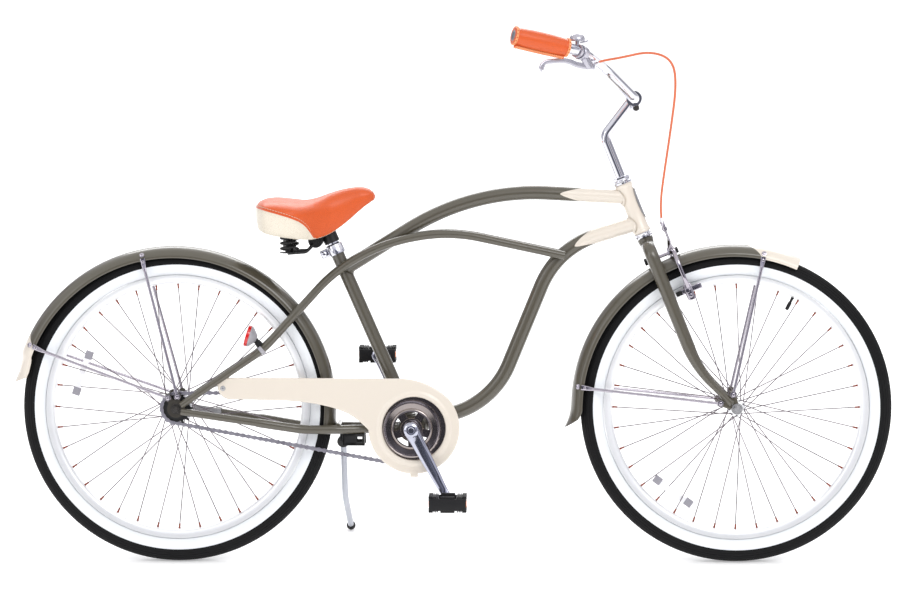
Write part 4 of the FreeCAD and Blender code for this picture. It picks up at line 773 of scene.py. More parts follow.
side_flare = side_pass + Vector((-82, 0, -90))
SIDE_POINTS = [down_high + Vector((16, 24, -16)), down_high + Vector((-229, 24, 36)),
               side_pass + Vector((111, 24, 59)), side_pass + Vector((0, 23, 0)),
               side_flare + Vector((0, 46, 0)), REAR_AXLE + Vector((183.5, 53, 124)),
               REAR_AXLE + Vector((10, REAR_FORK_HALF, 7))]
SIDE_BENDS = [380, 380, 300, 120, 260]
STAY_POINTS = [REAR_AXLE + Vector((10, REAR_FORK_HALF, -6)), REAR_AXLE + Vector((180, 53, -31.5)),
               REAR_AXLE + Vector((270, 42.5, -46)), CRANK_AXLE + Vector((-162, 42.5, -1.5)),
               CRANK_AXLE + Vector((-86, 25.5, -1)), CRANK_AXLE + Vector((0, 21, 0))]
STAY_BENDS = [300, 200, 110, 110]
SPLIT_REACH = 0.146
SPLIT_POINT = 0.048

# Both tubes give way from olive to cream near the head tube
for word, path, radius in (("top", top_path, TOP_RADIUS), ("down", down_path, DOWN_RADIUS)):
    start = path_length(path) * MM - SPLIT_REACH
    paint = finish(word + "_tube_paint", OLIVE, 0.36, tone=0.12, coat=0.8, coat_roughness=0.14,
                   second=CREAM, split=(start, SPLIT_POINT))
    painted = Shell()
    painted.tube(path, radius, sectors=40)
    painted.make(word + "_tube_painted", "frame", "olive_paint", [paint], [word + "_tube"])

WELD_RUN = 60
WELD_SECTORS = 48
WELD_RIPPLES = 24


def weld(shell, mouth, way, radius, core, axis, core_radius, bead=2.4):
    """A bead of weld where a tube runs into a round piece, and the fillet that it leaves."""
    way = way.normalized()
    axis = axis.normalized()
    beside = way.cross(axis)
    if beside.length < 0.1:
        beside = way.orthogonal()
    beside.normalize()
    above = way.cross(beside)
    rows = []
    for step in range(WELD_SECTORS + 1):
        angle = 2 * math.pi * (step % WELD_SECTORS) / WELD_SECTORS
        out = beside * math.cos(angle) + above * math.sin(angle)
        point = mouth + out * radius
        gap = point - core
        gap -= axis * gap.dot(axis)
        run = way - axis * way.dot(axis)
        a = run.dot(run)
        b = 2 * run.dot(gap)
        c = gap.dot(gap) - core_radius ** 2
        inside = max(b * b - 4 * a * c, 0)
        meets = point + way * ((-b - math.sqrt(inside)) / (2 * a))
        face = meets - core
        face -= axis * face.dot(axis)
        face.normalize()
        pulse = 1 + 0.12 * math.sin(angle * WELD_RIPPLES)
        rows.append([meets - way * bead * 1.9 + out * 0.15, meets - way * bead * 1.1 * pulse
                     + out * 0.55 * bead, meets - way * bead * 0.2 + out * 1.3 * bead * pulse,
                     meets + face * 0.2 + out * 1.9 * bead - way * 0.1 * bead])
    shell.grid(rows, wrap=False)


joints = Shell()
for mouth, way, radius in (
        (TOP_HEAD - AHEAD * WELD_RUN, Vector((1, 0, -0.05)), TOP_RADIUS),
        (DOWN_HEAD - polar(WELD_RUN, DOWN_HEAD_SLOPE), polar(1, DOWN_HEAD_SLOPE), DOWN_RADIUS)):
    weld(joints, mouth, way, radius, HEAD_FOOT, STEER_UP, HEAD_RADIUS)
joints.make("head_welds", "frame", "cream_paint", [cream_paint], sharp=60)
joints = Shell()
weld(joints, TOP_SEAT + polar(WELD_RUN, TOP_SEAT_SLOPE), polar(-1, TOP_SEAT_SLOPE), TOP_RADIUS,
     SEAT_FOOT, SEAT_UP, SEAT_RADIUS)
to_shell = [(CRANK_AXLE + polar(WELD_RUN, DOWN_FOOT_SLOPE), polar(-1, DOWN_FOOT_SLOPE),
             DOWN_RADIUS, 2.4),
            (SEAT_FOOT + SEAT_UP * WELD_RUN, -SEAT_UP, SEAT_RADIUS, 2.4)]
for side in (-1, 1):
    foot = flipped(STAY_POINTS[5], side)
    heel = flipped(STAY_POINTS[4], side)
    to_shell.append((heel, foot - heel, STAY_RADIUS, 1.8))
for mouth, way, radius, bead in to_shell:
    weld(joints, mouth, way, radius, CRANK_AXLE, ACROSS, SHELL_RADIUS, bead)
joints.make("frame_welds", "frame", "olive_paint", [olive_paint], sharp=60)

head = Shell()
head.lathe([(14.6, HEAD_LOW), (17.6, HEAD_LOW), (18.6, 13.2), (18.6, 18), (17.6, 19.6),
            (HEAD_RADIUS, 21), (HEAD_RADIUS, 114), (17.6, 115.4), (18.6, 117), (18.6, 121.8),
            (17.6, HEAD_HIGH), (14.6, HEAD_HIGH)], HEAD_FOOT, STEER_UP, 56)
head.make("head_tube_lugged", "frame", "cream_paint", [cream_paint], ["head_tube"])

seat = Shell()
seat.tube([SEAT_FOOT + SEAT_UP * 20, on_seat_tube(500), on_seat_tube(674)], SEAT_RADIUS, sectors=36)
seat.make("seat_tube_painted", "frame", "olive_paint", [olive_paint], ["seat_tube"])

for side, word in ((-1, "right"), (1, "left")):
    for name, points, bends, girth in (
            ("side_tube", SIDE_POINTS, SIDE_BENDS,
             lambda share: SIDE_RADIUS * (1 - 1.6 * max(share - 0.9, 0))),
            ("chain_stay", STAY_POINTS, STAY_BENDS,
             lambda share: STAY_RADIUS * min(1, 0.8 + 2.0 * share))):
        bent = Shell()
        bent.sweep(rounded([flipped(point, side) for point in points], bends, 4),
                   lambda share: circle(girth(share)))
        bent.make(f"{name}_bent_{word}", "frame", "olive_paint", [olive_paint],
                  [f"{name}_{word}"])

# Fenders

REAR_FENDER_CENTRE = REAR_AXLE + Vector((-8.5, 0, -3))
FRONT_FENDER_CENTRE = FRONT_AXLE + Vector((-5, 0, 0))
FENDER_SKIN = 1.2
FENDER_STEP = 1.5
FLARE_STEPS = 14
SHOULDER = 18
CROWN_RADIUS = (FENDER_HALF ** 2 + SHOULDER ** 2) / (2 * SHOULDER)


def fender_skin(depth):
    """Half the fender's section as (beside, depth) pairs, from its crown to its side."""
    spread = math.asin(FENDER_HALF / CROWN_RADIUS)
    radius = CROWN_RADIUS - depth
    return [(radius * math.sin(spread * step / 10),
             CROWN_RADIUS - radius * math.cos(spread * step / 10)) for step in range(11)]


def fender_outline():
    """The whole section: a thin skin with both its edges rolled."""
    roll = [(FENDER_HALF - inside, FENDER_DROP - above) for inside, above in (
        (0, 4), (0, 1.7), (0.8, 0.3), (2.2, 0.1), (3.0, 1.3), (2.4, 2.4), (1.2, 2.8), (1.2, 5))]
    half = fender_skin(0) + roll + fender_skin(FENDER_SKIN)[::-1]
    return half + [(-beside, depth) for beside, depth in half[::-1]][1:-1]


def fender_stations(centre, start, end):
    """Crown points and outward ways along a fender's round stretch."""
    count = math.ceil((end - start) / FENDER_STEP)
    angles = [start + (end - start) * index / count for index in range(count + 1)]
    return [(polar(FENDER_RADIUS, angle, centre), polar(1, angle)) for angle in angles]


def flared(stations, points, ways):
    """Lets a fender's end run on through more crown points, with an outward way at each."""
    line = smooth_line([stations[-1][0]] + points, FLARE_STEPS)
    sides = smooth_line([stations[-1][1]] + ways, FLARE_STEPS)
    return stations + list(zip(line[1:], sides[1:]))


def fender(name, stations, body, coat, stands_for):
    outline = fender_outline()
    rows = [[point + ACROSS * beside - out * depth for beside, depth in outline]
            for point, out in stations]
    piece = Shell()
    piece.grid(rows)
    count = len(outline)
    piece.fold(0, count)
    piece.fold((len(rows) - 1) * count, count, v=2)
    piece.make(name, body, "olive_paint", [coat], stands_for, sharp=40)


def fender_paint(name, first, second, degrees, reach):
    """Two paints that meet across a fender: the second starts at the crown after so many degrees."""
    start = math.radians(degrees) * FENDER_RADIUS * MM
    return finish(name, first, 0.36, tone=0.08, coat=0.8, coat_roughness=0.14, second=second,
                  split=(start, reach))


rear_stations = flared(fender_stations(REAR_FENDER_CENTRE, -6, 160),
                       [Vector((-335, 0, 440)), Vector((-339, 0, 418)), Vector((-344.5, 0, 401)),
                        Vector((-352.4, 0, 385))],
                       [Vector((-0.98, 0, 0.1)), Vector((-1.0, 0, -0.1)), Vector((-1.1, 0, -0.25)),
                        Vector((-1.2, 0, -0.46))])
fender("rear_fender_rolled", rear_stations, "frame",
       fender_paint("rear_fender_paint", OLIVE, CREAM, 157.5, 0.030), ["rear_fender"])
front_stations = flared(fender_stations(FRONT_FENDER_CENTRE, 66, 178.4),
                        [polar(349, 181, FRONT_FENDER_CENTRE), polar(353, 183.4, FRONT_FENDER_CENTRE),
                         polar(359, 185.6, FRONT_FENDER_CENTRE), polar(365.5, 187, FRONT_FENDER_CENTRE)],
                        [polar(1, 184), polar(1.05, 190), polar(1.2, 200), polar(1.4, 213)])
fender("front_fender_rolled", front_stations, "steering",
       fender_paint("front_fender_paint", CREAM, OLIVE, 19.7, -0.040), ["front_fender"])

# Saddle

SADDLE_BASE = on_seat_tube(712)
# Behind the seat post's top, half width, and the heights of the crown, the widest edge and the
# lower edge above the seat post's top
SADDLE_TABLE = [
    (-150, 30, 53, 40, 24), (-143, 78, 61, 44, 6), (-128, 104, 67, 44, -3), (-105, 113, 69, 41, -9),
    (-70, 113, 66, 36, -14), (-45, 98, 64, 33, -17), (-20, 72, 69, 33, -16), (5, 50, 78, 37, -8),
    (28, 38, 85, 46, 6), (52, 31, 90, 58, 25), (75, 27, 91.5, 68, 45), (92, 21, 87, 73, 58),
    (101, 12, 79, 72, 64), (104, 3, 73, 71, 69)]
# Behind the seat post's top, and the height where the side panel meets the top
PANEL_TABLE = [(-150, 49), (-143, 50), (-104, 41), (-76, 32.6), (-54, 23.5), (-40, 12.7),
               (-31, -0.2), (-24, -12), (-20, -18)]
PANEL_FRONT = -22
PANEL_SIDE = 30
SADDLE_BACK = -150
SADDLE_LENGTH = 254
SADDLE_STATIONS = 90
PANEL_ROWS = 7
COVER_ROWS = 22
PIPING_RADIUS = 1.5


def saddle_side(station, level):
    """How far out the saddle's side is at a height, at a station of its table."""
    half, crown, edge, under = (table_value(SADDLE_TABLE, station, column) for column in (1, 2, 3, 4))
    if level >= edge:
        share = min(max((level - edge) / (crown - edge), 0), 1)
        return half * (1 - share ** 2.1) ** 0.5
    share = min((edge - level) / max(edge - under, 1), 1)
    return half * (1 - 0.05 * share - 0.10 * share ** 4)


def saddle_line(station):
    """The left half of a section: from the rolled lower edge, over the side, to the crown."""
    half, crown, edge, under = (table_value(SADDLE_TABLE, station, column) for column in (1, 2, 3, 4))
    seam = under
    if station < PANEL_FRONT:
        seam = min(max(table_value(PANEL_TABLE, station, 1), under), crown - 4)
    levels = [under + (seam - under) * step / PANEL_ROWS for step in range(PANEL_ROWS + 1)]
    points = [(half * 0.80, under + 3), (half * 0.83, under - 0.6)]
    points += [(saddle_side(station, level), level) for level in levels]
    rise = math.asin(min(max((seam - edge) / (crown - edge), 0), 1))
    span_below = max(edge - seam, 0)
    over_top = half * 1.15
    for step in range(1, COVER_ROWS + 1):
        reach = (span_below + over_top) * step / COVER_ROWS - span_below
        if reach < 0:
            points.append((saddle_side(station, edge + reach), edge + reach))
        else:
            angle = rise + (0.5 * math.pi - rise) * reach / over_top
            points.append((half * max(math.cos(angle), 0) ** 0.85,
                           edge + (crown - edge) * max(math.sin(angle), 0) ** 0.95))
    return points, (saddle_side(station, seam), seam)


saddle = Shell()
lines = []
seams = []
for index in range(SADDLE_STATIONS + 1):
    share = index / SADDLE_STATIONS
    eased = 0.5 - 0.5 * math.cos(math.pi * share)
    station = SADDLE_BACK + SADDLE_LENGTH * (0.35 * share + 0.65 * eased)
    line, seam = saddle_line(station)
    base = SADDLE_BASE + Vector((station, 0, 0))
    left = [base + Vector((0, beside, level)) for beside, level in line]
    right = [base + Vector((0, -beside, level)) for beside, level in line[:-1]]
    lines.append(left + right[::-1])
    seams.append((base, seam))
rows = [[line[j] for line in lines] for j in range(len(lines[0]))]
panel_end = PANEL_ROWS + 2
marks = [1 if j < panel_end or j >= len(rows) - 1 - panel_end else 0 for j in range(len(rows))]
saddle.grid(rows, marks, wrap=False)
for ring in (lines[0], lines[-1]):
    first = len(saddle.points)
    saddle.points += ring
    saddle.fold(first, len(ring), [0 if j > panel_end else 1 for j in range(len(ring))])
cover = saddle.make("saddle_cover", "frame", "orange_leather", [orange_leather, cream_leather],
                    ["saddle"], sharp=60)

pan = Shell()
pan_rows = []
for base, seam in seams[6:-4:4]:
    station = base.x - SADDLE_BASE.x
    half = table_value(SADDLE_TABLE, station, 1) * 0.82
    under = table_value(SADDLE_TABLE, station, 4) + 1.5
    pan_rows.append([base + Vector((0, half * math.cos(math.pi * step / 10),
                                    under + 4 + 14 * math.sin(math.pi * step / 10) ** 0.5))
                     for step in range(11)])
pan.grid(pan_rows, wrap=False)
pan.make("saddle_pan", "frame", "black_plastic", [black_plastic])


def panel_edge(side, out, up):
    """The side panel's upper edge, moved out and up by so much."""
    return [base + Vector((0, side * (seam[0] + out), seam[1] + up)) for base, seam in seams
            if base.x - SADDLE_BASE.x < PANEL_FRONT and seam[0] > PANEL_SIDE]


piping = Shell()
ends = []
for side in (-1, 1):
    path = panel_edge(side, 0.3, 0)
    ends.append(path[0])
    piping.tube(path, PIPING_RADIUS, side=Vector((0.2, 0, 1)), sectors=10)
piping.tube([ends[0], (ends[0] + ends[1]) / 2 + Vector((-1.5, 0, 0)), ends[1]], PIPING_RADIUS,
            side=UPWARD, sectors=10)
piping.make("saddle_piping", "frame", "orange_leather", [orange_leather])

COIL_STEPS = 100
COIL_TURN = 20
COIL_HEIGHT = 54
spring = Shell()
for side in (-1, 1):
    foot = SADDLE_BASE + Vector((-80, side * 50, -44))
    path = []
    for step in range(COIL_STEPS + 1):
        angle = 2 * math.pi * step / COIL_TURN
        flat = min(1, step / 16, (COIL_STEPS - step) / 16)
        height = COIL_HEIGHT * step / COIL_STEPS
        path.append(foot + Vector((15 * math.cos(angle), 15 * math.sin(angle), height + flat)))
    spring.tube(path, 2.9, side=UPWARD, sectors=10)
    for profile in ([(0, -3.5), (17.5, -3.5), (17.8, -2.8), (17.8, -1.4), (0, -1.2)],
                    [(0, 56), (17.5, 56), (17.8, 54.5), (17.8, 53), (0, 53)]):
        spring.lathe(profile, foot, UPWARD, 28)
    spring.lathe(rod(6, -3, COIL_HEIGHT), foot, UPWARD, 16)
spring.make("saddle_coils", "frame", "black_metal", [black_metal], ["saddle_springs"])

# Handlebar, grips

ELBOW = steer(0, 0, 232)
BAR_CENTRE = polar(103, 52.4, ELBOW)
BAR_TABLE = [(0, 0, 0), (0, 48, 0), (-66, 130, 65.5), (-102, 245, 91.5), (-132, 297, 105.5),
             (-260.5, 341, 135)]
BAR_BENDS = [34, 110, 110, 60]
BAR_POINTS = [BAR_CENTRE + Vector(row) for row in BAR_TABLE]
BAR_RADIUS = 11.1
CLAMP_BORE = 11.3
BAR_END = BAR_POINTS[-1] - (BAR_POINTS[-1] - BAR_POINTS[-2]).normalized() * 9
half_bar = rounded(BAR_POINTS[:-1] + [BAR_END], BAR_BENDS, 3)
bar = Shell()
bar.tube([flipped(point, -1) for point in half_bar[:0:-1]] + half_bar, BAR_RADIUS,
         side=Vector((1, 0, 0.3)), sectors=32)
bar.make("handlebar_bent", "steering", "chrome", [chrome], ["handlebar"])

GRIP_BORE = 11.4
GRIP_REACH = 122
GRIP_BACK = 6


def grip_end(side):
    """Where a grip ends, and its way back from there."""
    tip = flipped(BAR_POINTS[-1], side)
    back = (tip - flipped(BAR_POINTS[-2], side)).normalized()
    return tip - back * GRIP_BACK, back


# A grip swells between its two collars
grip_profile = [(GRIP_BORE, -GRIP_REACH), (16.4, -GRIP_REACH), (17.9, 1.5 - GRIP_REACH),
                (17.9, 5.5 - GRIP_REACH), (17.2, 7.5 - GRIP_REACH)]
for step in range(21):
    share = step / 20
    grip_profile.append((17.0 + 2.6 * math.sin(math.pi * share) ** 0.7,
                         (9 - GRIP_REACH) * (1 - share) - 9 * share))
grip_profile += [(17.2, -7.5), (17.9, -5.5), (17.9, -1.5), (16.4, 0), (GRIP_BORE, 0)]
for side, word in ((-1, "right"), (1, "left")):
    end, back = grip_end(side)
    sleeve = Shell()
    sleeve.lathe(grip_profile, end, back, 48)
    sleeve.make("grip_sleeve_" + word, "steering", "orange_leather", [orange_leather],
                ["grip_" + word])
    plug = Shell()
    plug.lathe([(GRIP_BORE, -2), (GRIP_BORE, 0.0), (10.5, 0.6), (8, 0.2), (7, -2), (0, -2)], end,
               back, 32)
    plug.make("grip_plug_" + word, "steering", "black_plastic", [grey_plug])

# Small parts that come up again

def slab(half_wide, half_thick, corner=0.55, count=24):
    """A flat section with round corners, as (beside, above) pairs."""
    pairs = []
    for step in range(count):
        angle = 2 * math.pi * step / count
        a, b = math.cos(angle), math.sin(angle)
        pairs.append((math.copysign(abs(a) ** corner, a) * half_wide,
                      math.copysign(abs(b) ** corner, b) * half_thick))
    return pairs


def hex_nut(shell, place, axis, flats, height):
    """A chamfered hexagon nut whose seat is at the place."""
    corner = flats / 2 / math.cos(math.pi / 6)
    shell.lathe([(0, 0), (corner * 0.97, 0), (corner, 0.5), (corner, height - 0.9),
                 (corner * 0.93, height), (corner * 0.6, height), (0, height)], place, axis, 6)


def dome_screw(shell, place, axis, radius, height):
    """A domed screw head with a driver's recess."""
    shell.lathe([(radius * 1.25, 0), (radius * 1.25, height * 0.3), (radius, height * 0.35),
                 (radius * 0.92, height * 0.75), (radius * 0.5, height), (radius * 0.35, height),
                 (radius * 0.3, height * 0.4), (0, height * 0.4)], place, axis, 24)


# Stem, headset and the parts clamped on the handlebar

STEM_RADIUS = 11.1
stem = Shell()
stem.tube(rounded([steer(0, 0, 135), ELBOW, BAR_CENTRE - (BAR_CENTRE - ELBOW).normalized() * 8],
                  [26], 2), STEM_RADIUS, sectors=32)
stem.lathe(both_ways([(CLAMP_BORE, -21), (16.2, -21), (17, -20.2)]), BAR_CENTRE, sectors=40)
binder = BAR_CENTRE + Vector((4.5, 0, -20))
for y in (-9, 9):
    stem.sweep([at_side(y, BAR_CENTRE), at_side(y, binder),
                at_side(y, binder - Vector((-1, 0, 5)))], slab(5.5, 7))
stem.make("stem_polished", "steering", "chrome", [chrome], ["stem"])
pinch = Shell()
pinch.lathe(rod(3.9, -15, 14), binder, sectors=20)
pinch.lathe([(0, -20), (6, -20), (6.6, -19), (6.6, -15.5), (0, -15.5)], binder, sectors=24)
hex_nut(pinch, binder + ACROSS * 14.2, ACROSS, 11, 6)
pinch.make("stem_pinch_bolt", "steering", "steel", [dark_steel])

headset = Shell()
for profile in ([(13.2, 1), (18.4, 1), (20, 2.2), (20, 5), (18.6, 6.2), (19.2, 7), (19.6, 10.6),
                 (18.2, 11.9), (13.2, 11.9)],
                [(13.2, 123.1), (18.2, 123.1), (19.8, 124.4), (20, 127.6), (18.6, 129),
                 (13.2, 129)]):
    headset.lathe(profile, HEAD_FOOT, STEER_UP, 48)
headset.make("headset_races", "frame", "chrome", [chrome], ["headset_cups"])
lock = Shell()
for profile, sectors in (
        ([(13, 129.6), (17.8, 129.6), (18, 130), (18, 132.4), (17.6, 133), (13, 133)], 40),
        ([(13, 133), (17.6, 133), (18, 133.8), (18, 138.6), (16.4, 139.8), (13, 140.2)], 6)):
    lock.lathe(profile, HEAD_FOOT, STEER_UP, sectors)
lock.make("headset_lock_nut", "steering", "chrome", [chrome], ["headset_nut"])

bar_low = flipped(BAR_POINTS[3], -1)
bar_high = flipped(BAR_POINTS[4], -1)
bar_way = (bar_high - bar_low).normalized()
lever_clamp = bar_low + (bar_high - bar_low) * 0.44
bell_clamp = lever_clamp + bar_way * 18
LEVER_PIVOT = lever_clamp + Vector((17, 9, -26))
CABLE_START = LEVER_PIVOT + Vector((14, 28, 5))
lever = Shell()
lever.lathe(both_ways([(CLAMP_BORE, -9), (14.6, -9), (15.6, -8)]), lever_clamp, bar_way, 40)
reach = LEVER_PIVOT - lever_clamp
lever.sweep([lever_clamp + reach * share for share in (0.3, 0.65, 1.08)],
            lambda share: slab(9 + 3 * share, 8 - 1.5 * share), side=bar_way)
# The blade follows the bar to its ball end
blade = smooth_line([LEVER_PIVOT + Vector((10, 6, -2)), LEVER_PIVOT + Vector((-20, -12, -2)),
                     Vector((830, -286, 1075)), Vector((800, -302, 1073)), Vector((784, -309, 1071)),
                     Vector((779, -312, 1063)), Vector((777, -313, 1056))], 30)
lever.sweep(blade, lambda share: slab(6.5 - 2.0 * share + (1.2 if share > 0.93 else 0), 2.6, 0.7),
            side=UPWARD)
lever.lathe([(0, -2), (4.4, -1.6), (5.4, 0), (4.4, 1.6), (0, 2)], blade[-1], Vector((1, 0, 0.2)),
            20)
lever.sweep([LEVER_PIVOT, LEVER_PIVOT.lerp(CABLE_START, 0.5), CABLE_START],
            lambda share: slab(6 - 2.2 * share, 5.2 - 1.4 * share, 0.8))
for way in (bar_way, -bar_way):
    dome_screw(lever, LEVER_PIVOT + way * 7, way, 4, 3)
lever.make("brake_lever_blade", "steering", "chrome", [satin_silver], ["brake_lever"])

bell = Shell()
bell_top = bell_clamp + Vector((0, 0, 20))
bell.lathe([(0, 0), (14.6, 0), (16, 0.6), (16.2, 2), (15.8, 6), (14.2, 10), (11, 13.4), (6.5, 15.4),
            (3.2, 16), (2.8, 17), (0, 17.2)], bell_top, UPWARD, 48)
bell.lathe(rod(4.2, -9, 0), bell_top, UPWARD, 20)
bell.lathe(both_ways([(CLAMP_BORE, -4), (13.8, -4), (14, -3.4)]), bell_clamp, bar_way, 36)
bell.sweep([bell_top + Vector((6, 4, -3)), bell_top + Vector((18, 6, -1)),
            bell_top + Vector((22, 5, 1))], slab(3, 1.6))
bell.make("bell_dome", "steering", "chrome", [satin_silver], ["bell"])

CABLE_ROUTE = [(-58, -215, 384), (5.5, -190, 398), (53, -160, 380), (62, -140, 327),
               (51, -110, 232), (39.5, -80, 146.5), (31, -48, 73)]
CABLE_STOP = steer(46, -34, 20)
CABLE_RADIUS = 2.5
inner_way = (CABLE_START - LEVER_PIVOT).normalized()
stop_way = (CABLE_STOP - HEAD_FOOT - Vector(CABLE_ROUTE[-1])).normalized()
pulls = [CABLE_START, CABLE_START + inner_way * 30]
pulls += [HEAD_FOOT + Vector(point) for point in CABLE_ROUTE] + [CABLE_STOP]
cable_line = smooth_line(pulls, 150)
cable = Shell()
cable.tube(cable_line, CABLE_RADIUS, sectors=14)
cable.make("brake_cable_housing", "steering", "orange_jacket", [orange_jacket], ["brake_cable"])
ferrule = Shell()
ferrule.lathe([(0, -2), (3.6, -2), (3.6, 8), (3.0, 9.5), (2.6, 9.5)], CABLE_START, inner_way, 24)
ferrule.lathe([(0, -3), (3.8, -3), (4.4, -2), (4.4, 2.5), (3.4, 3), (3.2, 9), (2.6, 9.5)],
              CABLE_STOP, -stop_way, 24)
ferrule.make("cable_ferrules", "steering", "chrome", [chrome])

# Seat collar

collar = Shell()
collar_low = on_seat_tube(660)
collar.lathe([(14.4, 0), (17.4, 0), (18.3, 0.8), (18.3, 21), (17.4, 22.4), (14.4, 24), (12.8, 24)],
             collar_low, SEAT_UP, 40)
seat_back = Vector((-SEAT_UP.z, 0, SEAT_UP.x))
ear = collar_low + seat_back * 25 + SEAT_UP * 11
for y in (-5, 5):
    collar.sweep([at_side(y, ear + seat_back * along) for along in (-10, 0, 8)], slab(2.6, 9))
collar.lathe(rod(3, -8, 8), ear + seat_back, sectors=20)
hex_nut(collar, ear + seat_back + ACROSS * 7.6, ACROSS, 10, 4.5)
dome_screw(collar, ear + seat_back - ACROSS * 7.6, -ACROSS, 5.5, 4)
collar.make("seat_collar", "frame", "chrome", [chrome], ["seat_clamp"])

# Chain guard

GUARD_CENTRE = CRANK_AXLE + Vector((5, 0, 2))
# Corners of the guard's edge, ahead of the crank axle and above it
GUARD_TAIL = (-408, 111)
GUARD_SHOULDER = (-32, 109)
GUARD_NOSE = (78, 67)
GUARD_LOWER = [(-92, -1), (-119, 28), (-172, 49), (-235, 60), (-300, 63), (-383, 64)]


def three_point_arc(first, middle, last, count):
    """Points on the arc through three points of a plane across Y, as (ahead, up) pairs."""
    ax, az = first
    bx, bz = middle
    cx, cz = last
    area = 2 * (ax * (bz - cz) + bx * (cz - az) + cx * (az - bz))
    a, b, c = ax * ax + az * az, bx * bx + bz * bz, cx * cx + cz * cz
    ux = (a * (bz - cz) + b * (cz - az) + c * (az - bz)) / area
    uz = (a * (cx - bx) + b * (ax - cx) + c * (bx - ax)) / area
    radius = math.hypot(ax - ux, az - uz)
    start = math.atan2(az - uz, ax - ux)
    through = (math.atan2(bz - uz, bx - ux) - start) % (2 * math.pi)
    end = (math.atan2(cz - uz, cx - ux) - start) % (2 * math.pi)
    if through > end:
        end -= 2 * math.pi
    return [(ux + radius * math.cos(start + end * step / count),
             uz + radius * math.sin(start + end * step / count)) for step in range(count + 1)]


def guard_outline():
    """The guard's edge, seen from the right: along the top, round the disc and back."""
    back, high = GUARD_TAIL
    ahead, low = GUARD_SHOULDER
    edge = [(back + (ahead - back) * step / 24, high + (low - high) * step / 24)
            for step in range(24)]
    edge += three_point_arc(GUARD_SHOULDER, (30, 98), GUARD_NOSE, 14)[:-1]
    disc = polar(97, -55, GUARD_CENTRE) - CRANK_AXLE
    edge += three_point_arc(GUARD_NOSE, (disc.x, disc.z), GUARD_LOWER[0], 60)[:-1]
    lower = [Vector((ahead, 0, up)) for ahead, up in GUARD_LOWER]
    edge += [(point.x, point.z) for point in smooth_line(lower, 30)][:-1]
    edge += three_point_arc(GUARD_LOWER[-1], (-412, 82), GUARD_TAIL, 10)[:-1]
    return edge


def inset_loop(loop, depth):
    """A closed loop of (ahead, up) pairs moved inwards; the loop runs clockwise."""
    moved = []
    for index, (x, z) in enumerate(loop):
        bx, bz = loop[index - 1]
        ax, az = loop[(index + 1) % len(loop)]
        run = math.hypot(ax - bx, az - bz)
        moved.append((x + (az - bz) / run * depth, z - (ax - bx) / run * depth))
    return moved


MOUTH_SECTORS = 96
guard = Shell()
rim_rows = [[CRANK_AXLE + Vector((x, y, z)) for x, z in inset_loop(guard_outline(), depth)]
            for depth, y in ((1.4, -50.5), (0.2, -51), (0, -52.4), (0.5, -53.8), (1.6, -54.6),
                             (3.2, -55), (4.2, -55))]
guard.grid(rim_rows)
mouth_rows = [[GUARD_CENTRE + Vector((a, y, b)) for a, b in circle(radius, MOUTH_SECTORS)]
              for radius, y in ((83, -55), (80.6, -55.1), (79.2, -56.2), (76.4, -57.8), (71.4, -58),
                                (69.2, -57.2), (67.8, -54), (67.6, -50))]
guard.grid(mouth_rows)
flat = bmesh.new()
loops = []
for ring in (rim_rows[-1], mouth_rows[0]):
    corners = [flat.verts.new(point) for point in ring]
    for low, high in zip(corners, corners[1:] + corners[:1]):
        loops.append(flat.edges.new((low, high)))
bmesh.ops.triangle_fill(flat, edges=loops, use_beauty=True, normal=(0, -1, 0))
flat.verts.index_update()
first = len(guard.points)
guard.points += [vertex.co.copy() for vertex in flat.verts]
for polygon in flat.faces:
    guard.face([first + vertex.index for vertex in polygon.verts])
flat.free()
for strap in (((5, -54.6, -88), (5, -55, -100), (5, -49, -102), (5, -36, -102)),
              ((5, -36, -102), (5, -34.5, -60), (5, -34.5, -26))):
    guard.sweep([CRANK_AXLE + Vector(point) for point in strap], slab(8, 1.0), side=AHEAD)
guard.make("chain_guard_pressed", "frame", "cream_paint", [cream_paint], ["chain_guard"], sharp=50)
screws = Shell()
dome_screw(screws, CRANK_AXLE + Vector((-402, -54.8, 88)), -ACROSS, 4.5, 3)
screws.make("guard_screws", "frame", "steel", [steel])

# Crankset

CHAIN_PITCH = 12.7
RING_TEETH = 40
COG_TEETH = 16
RING_PITCH = CHAIN_PITCH / 2 / math.sin(math.pi / RING_TEETH)
COG_PITCH = CHAIN_PITCH / 2 / math.sin(math.pi / COG_TEETH)
CHAIN_Y = -42
TOOTH_HALF = 1.1
TOOTH = ((-0.36, -4), (-0.24, -3.2), (-0.1, 3.4), (0, 4), (0.1, 3.4), (0.24, -3.2))


def toothed(shell, centre, teeth, pitch_radius, inner):
    """A toothed ring in the chain's plane."""
    step = 360 / teeth
    spots = [(pitch_radius + rise, step * (index + part)) for index in range(teeth)
             for part, rise in TOOTH]
    outer = [polar(radius, angle, centre) for radius, angle in spots]
    bore = [polar(inner, angle, centre) for radius, angle in spots]
    low = CHAIN_Y - TOOTH_HALF
    high = CHAIN_Y + TOOTH_HALF
    shell.grid([[at_side(y, point) for point in loop]
                for y, loop in ((low, bore), (low, outer), (high, outer), (high, bore))], close=True)


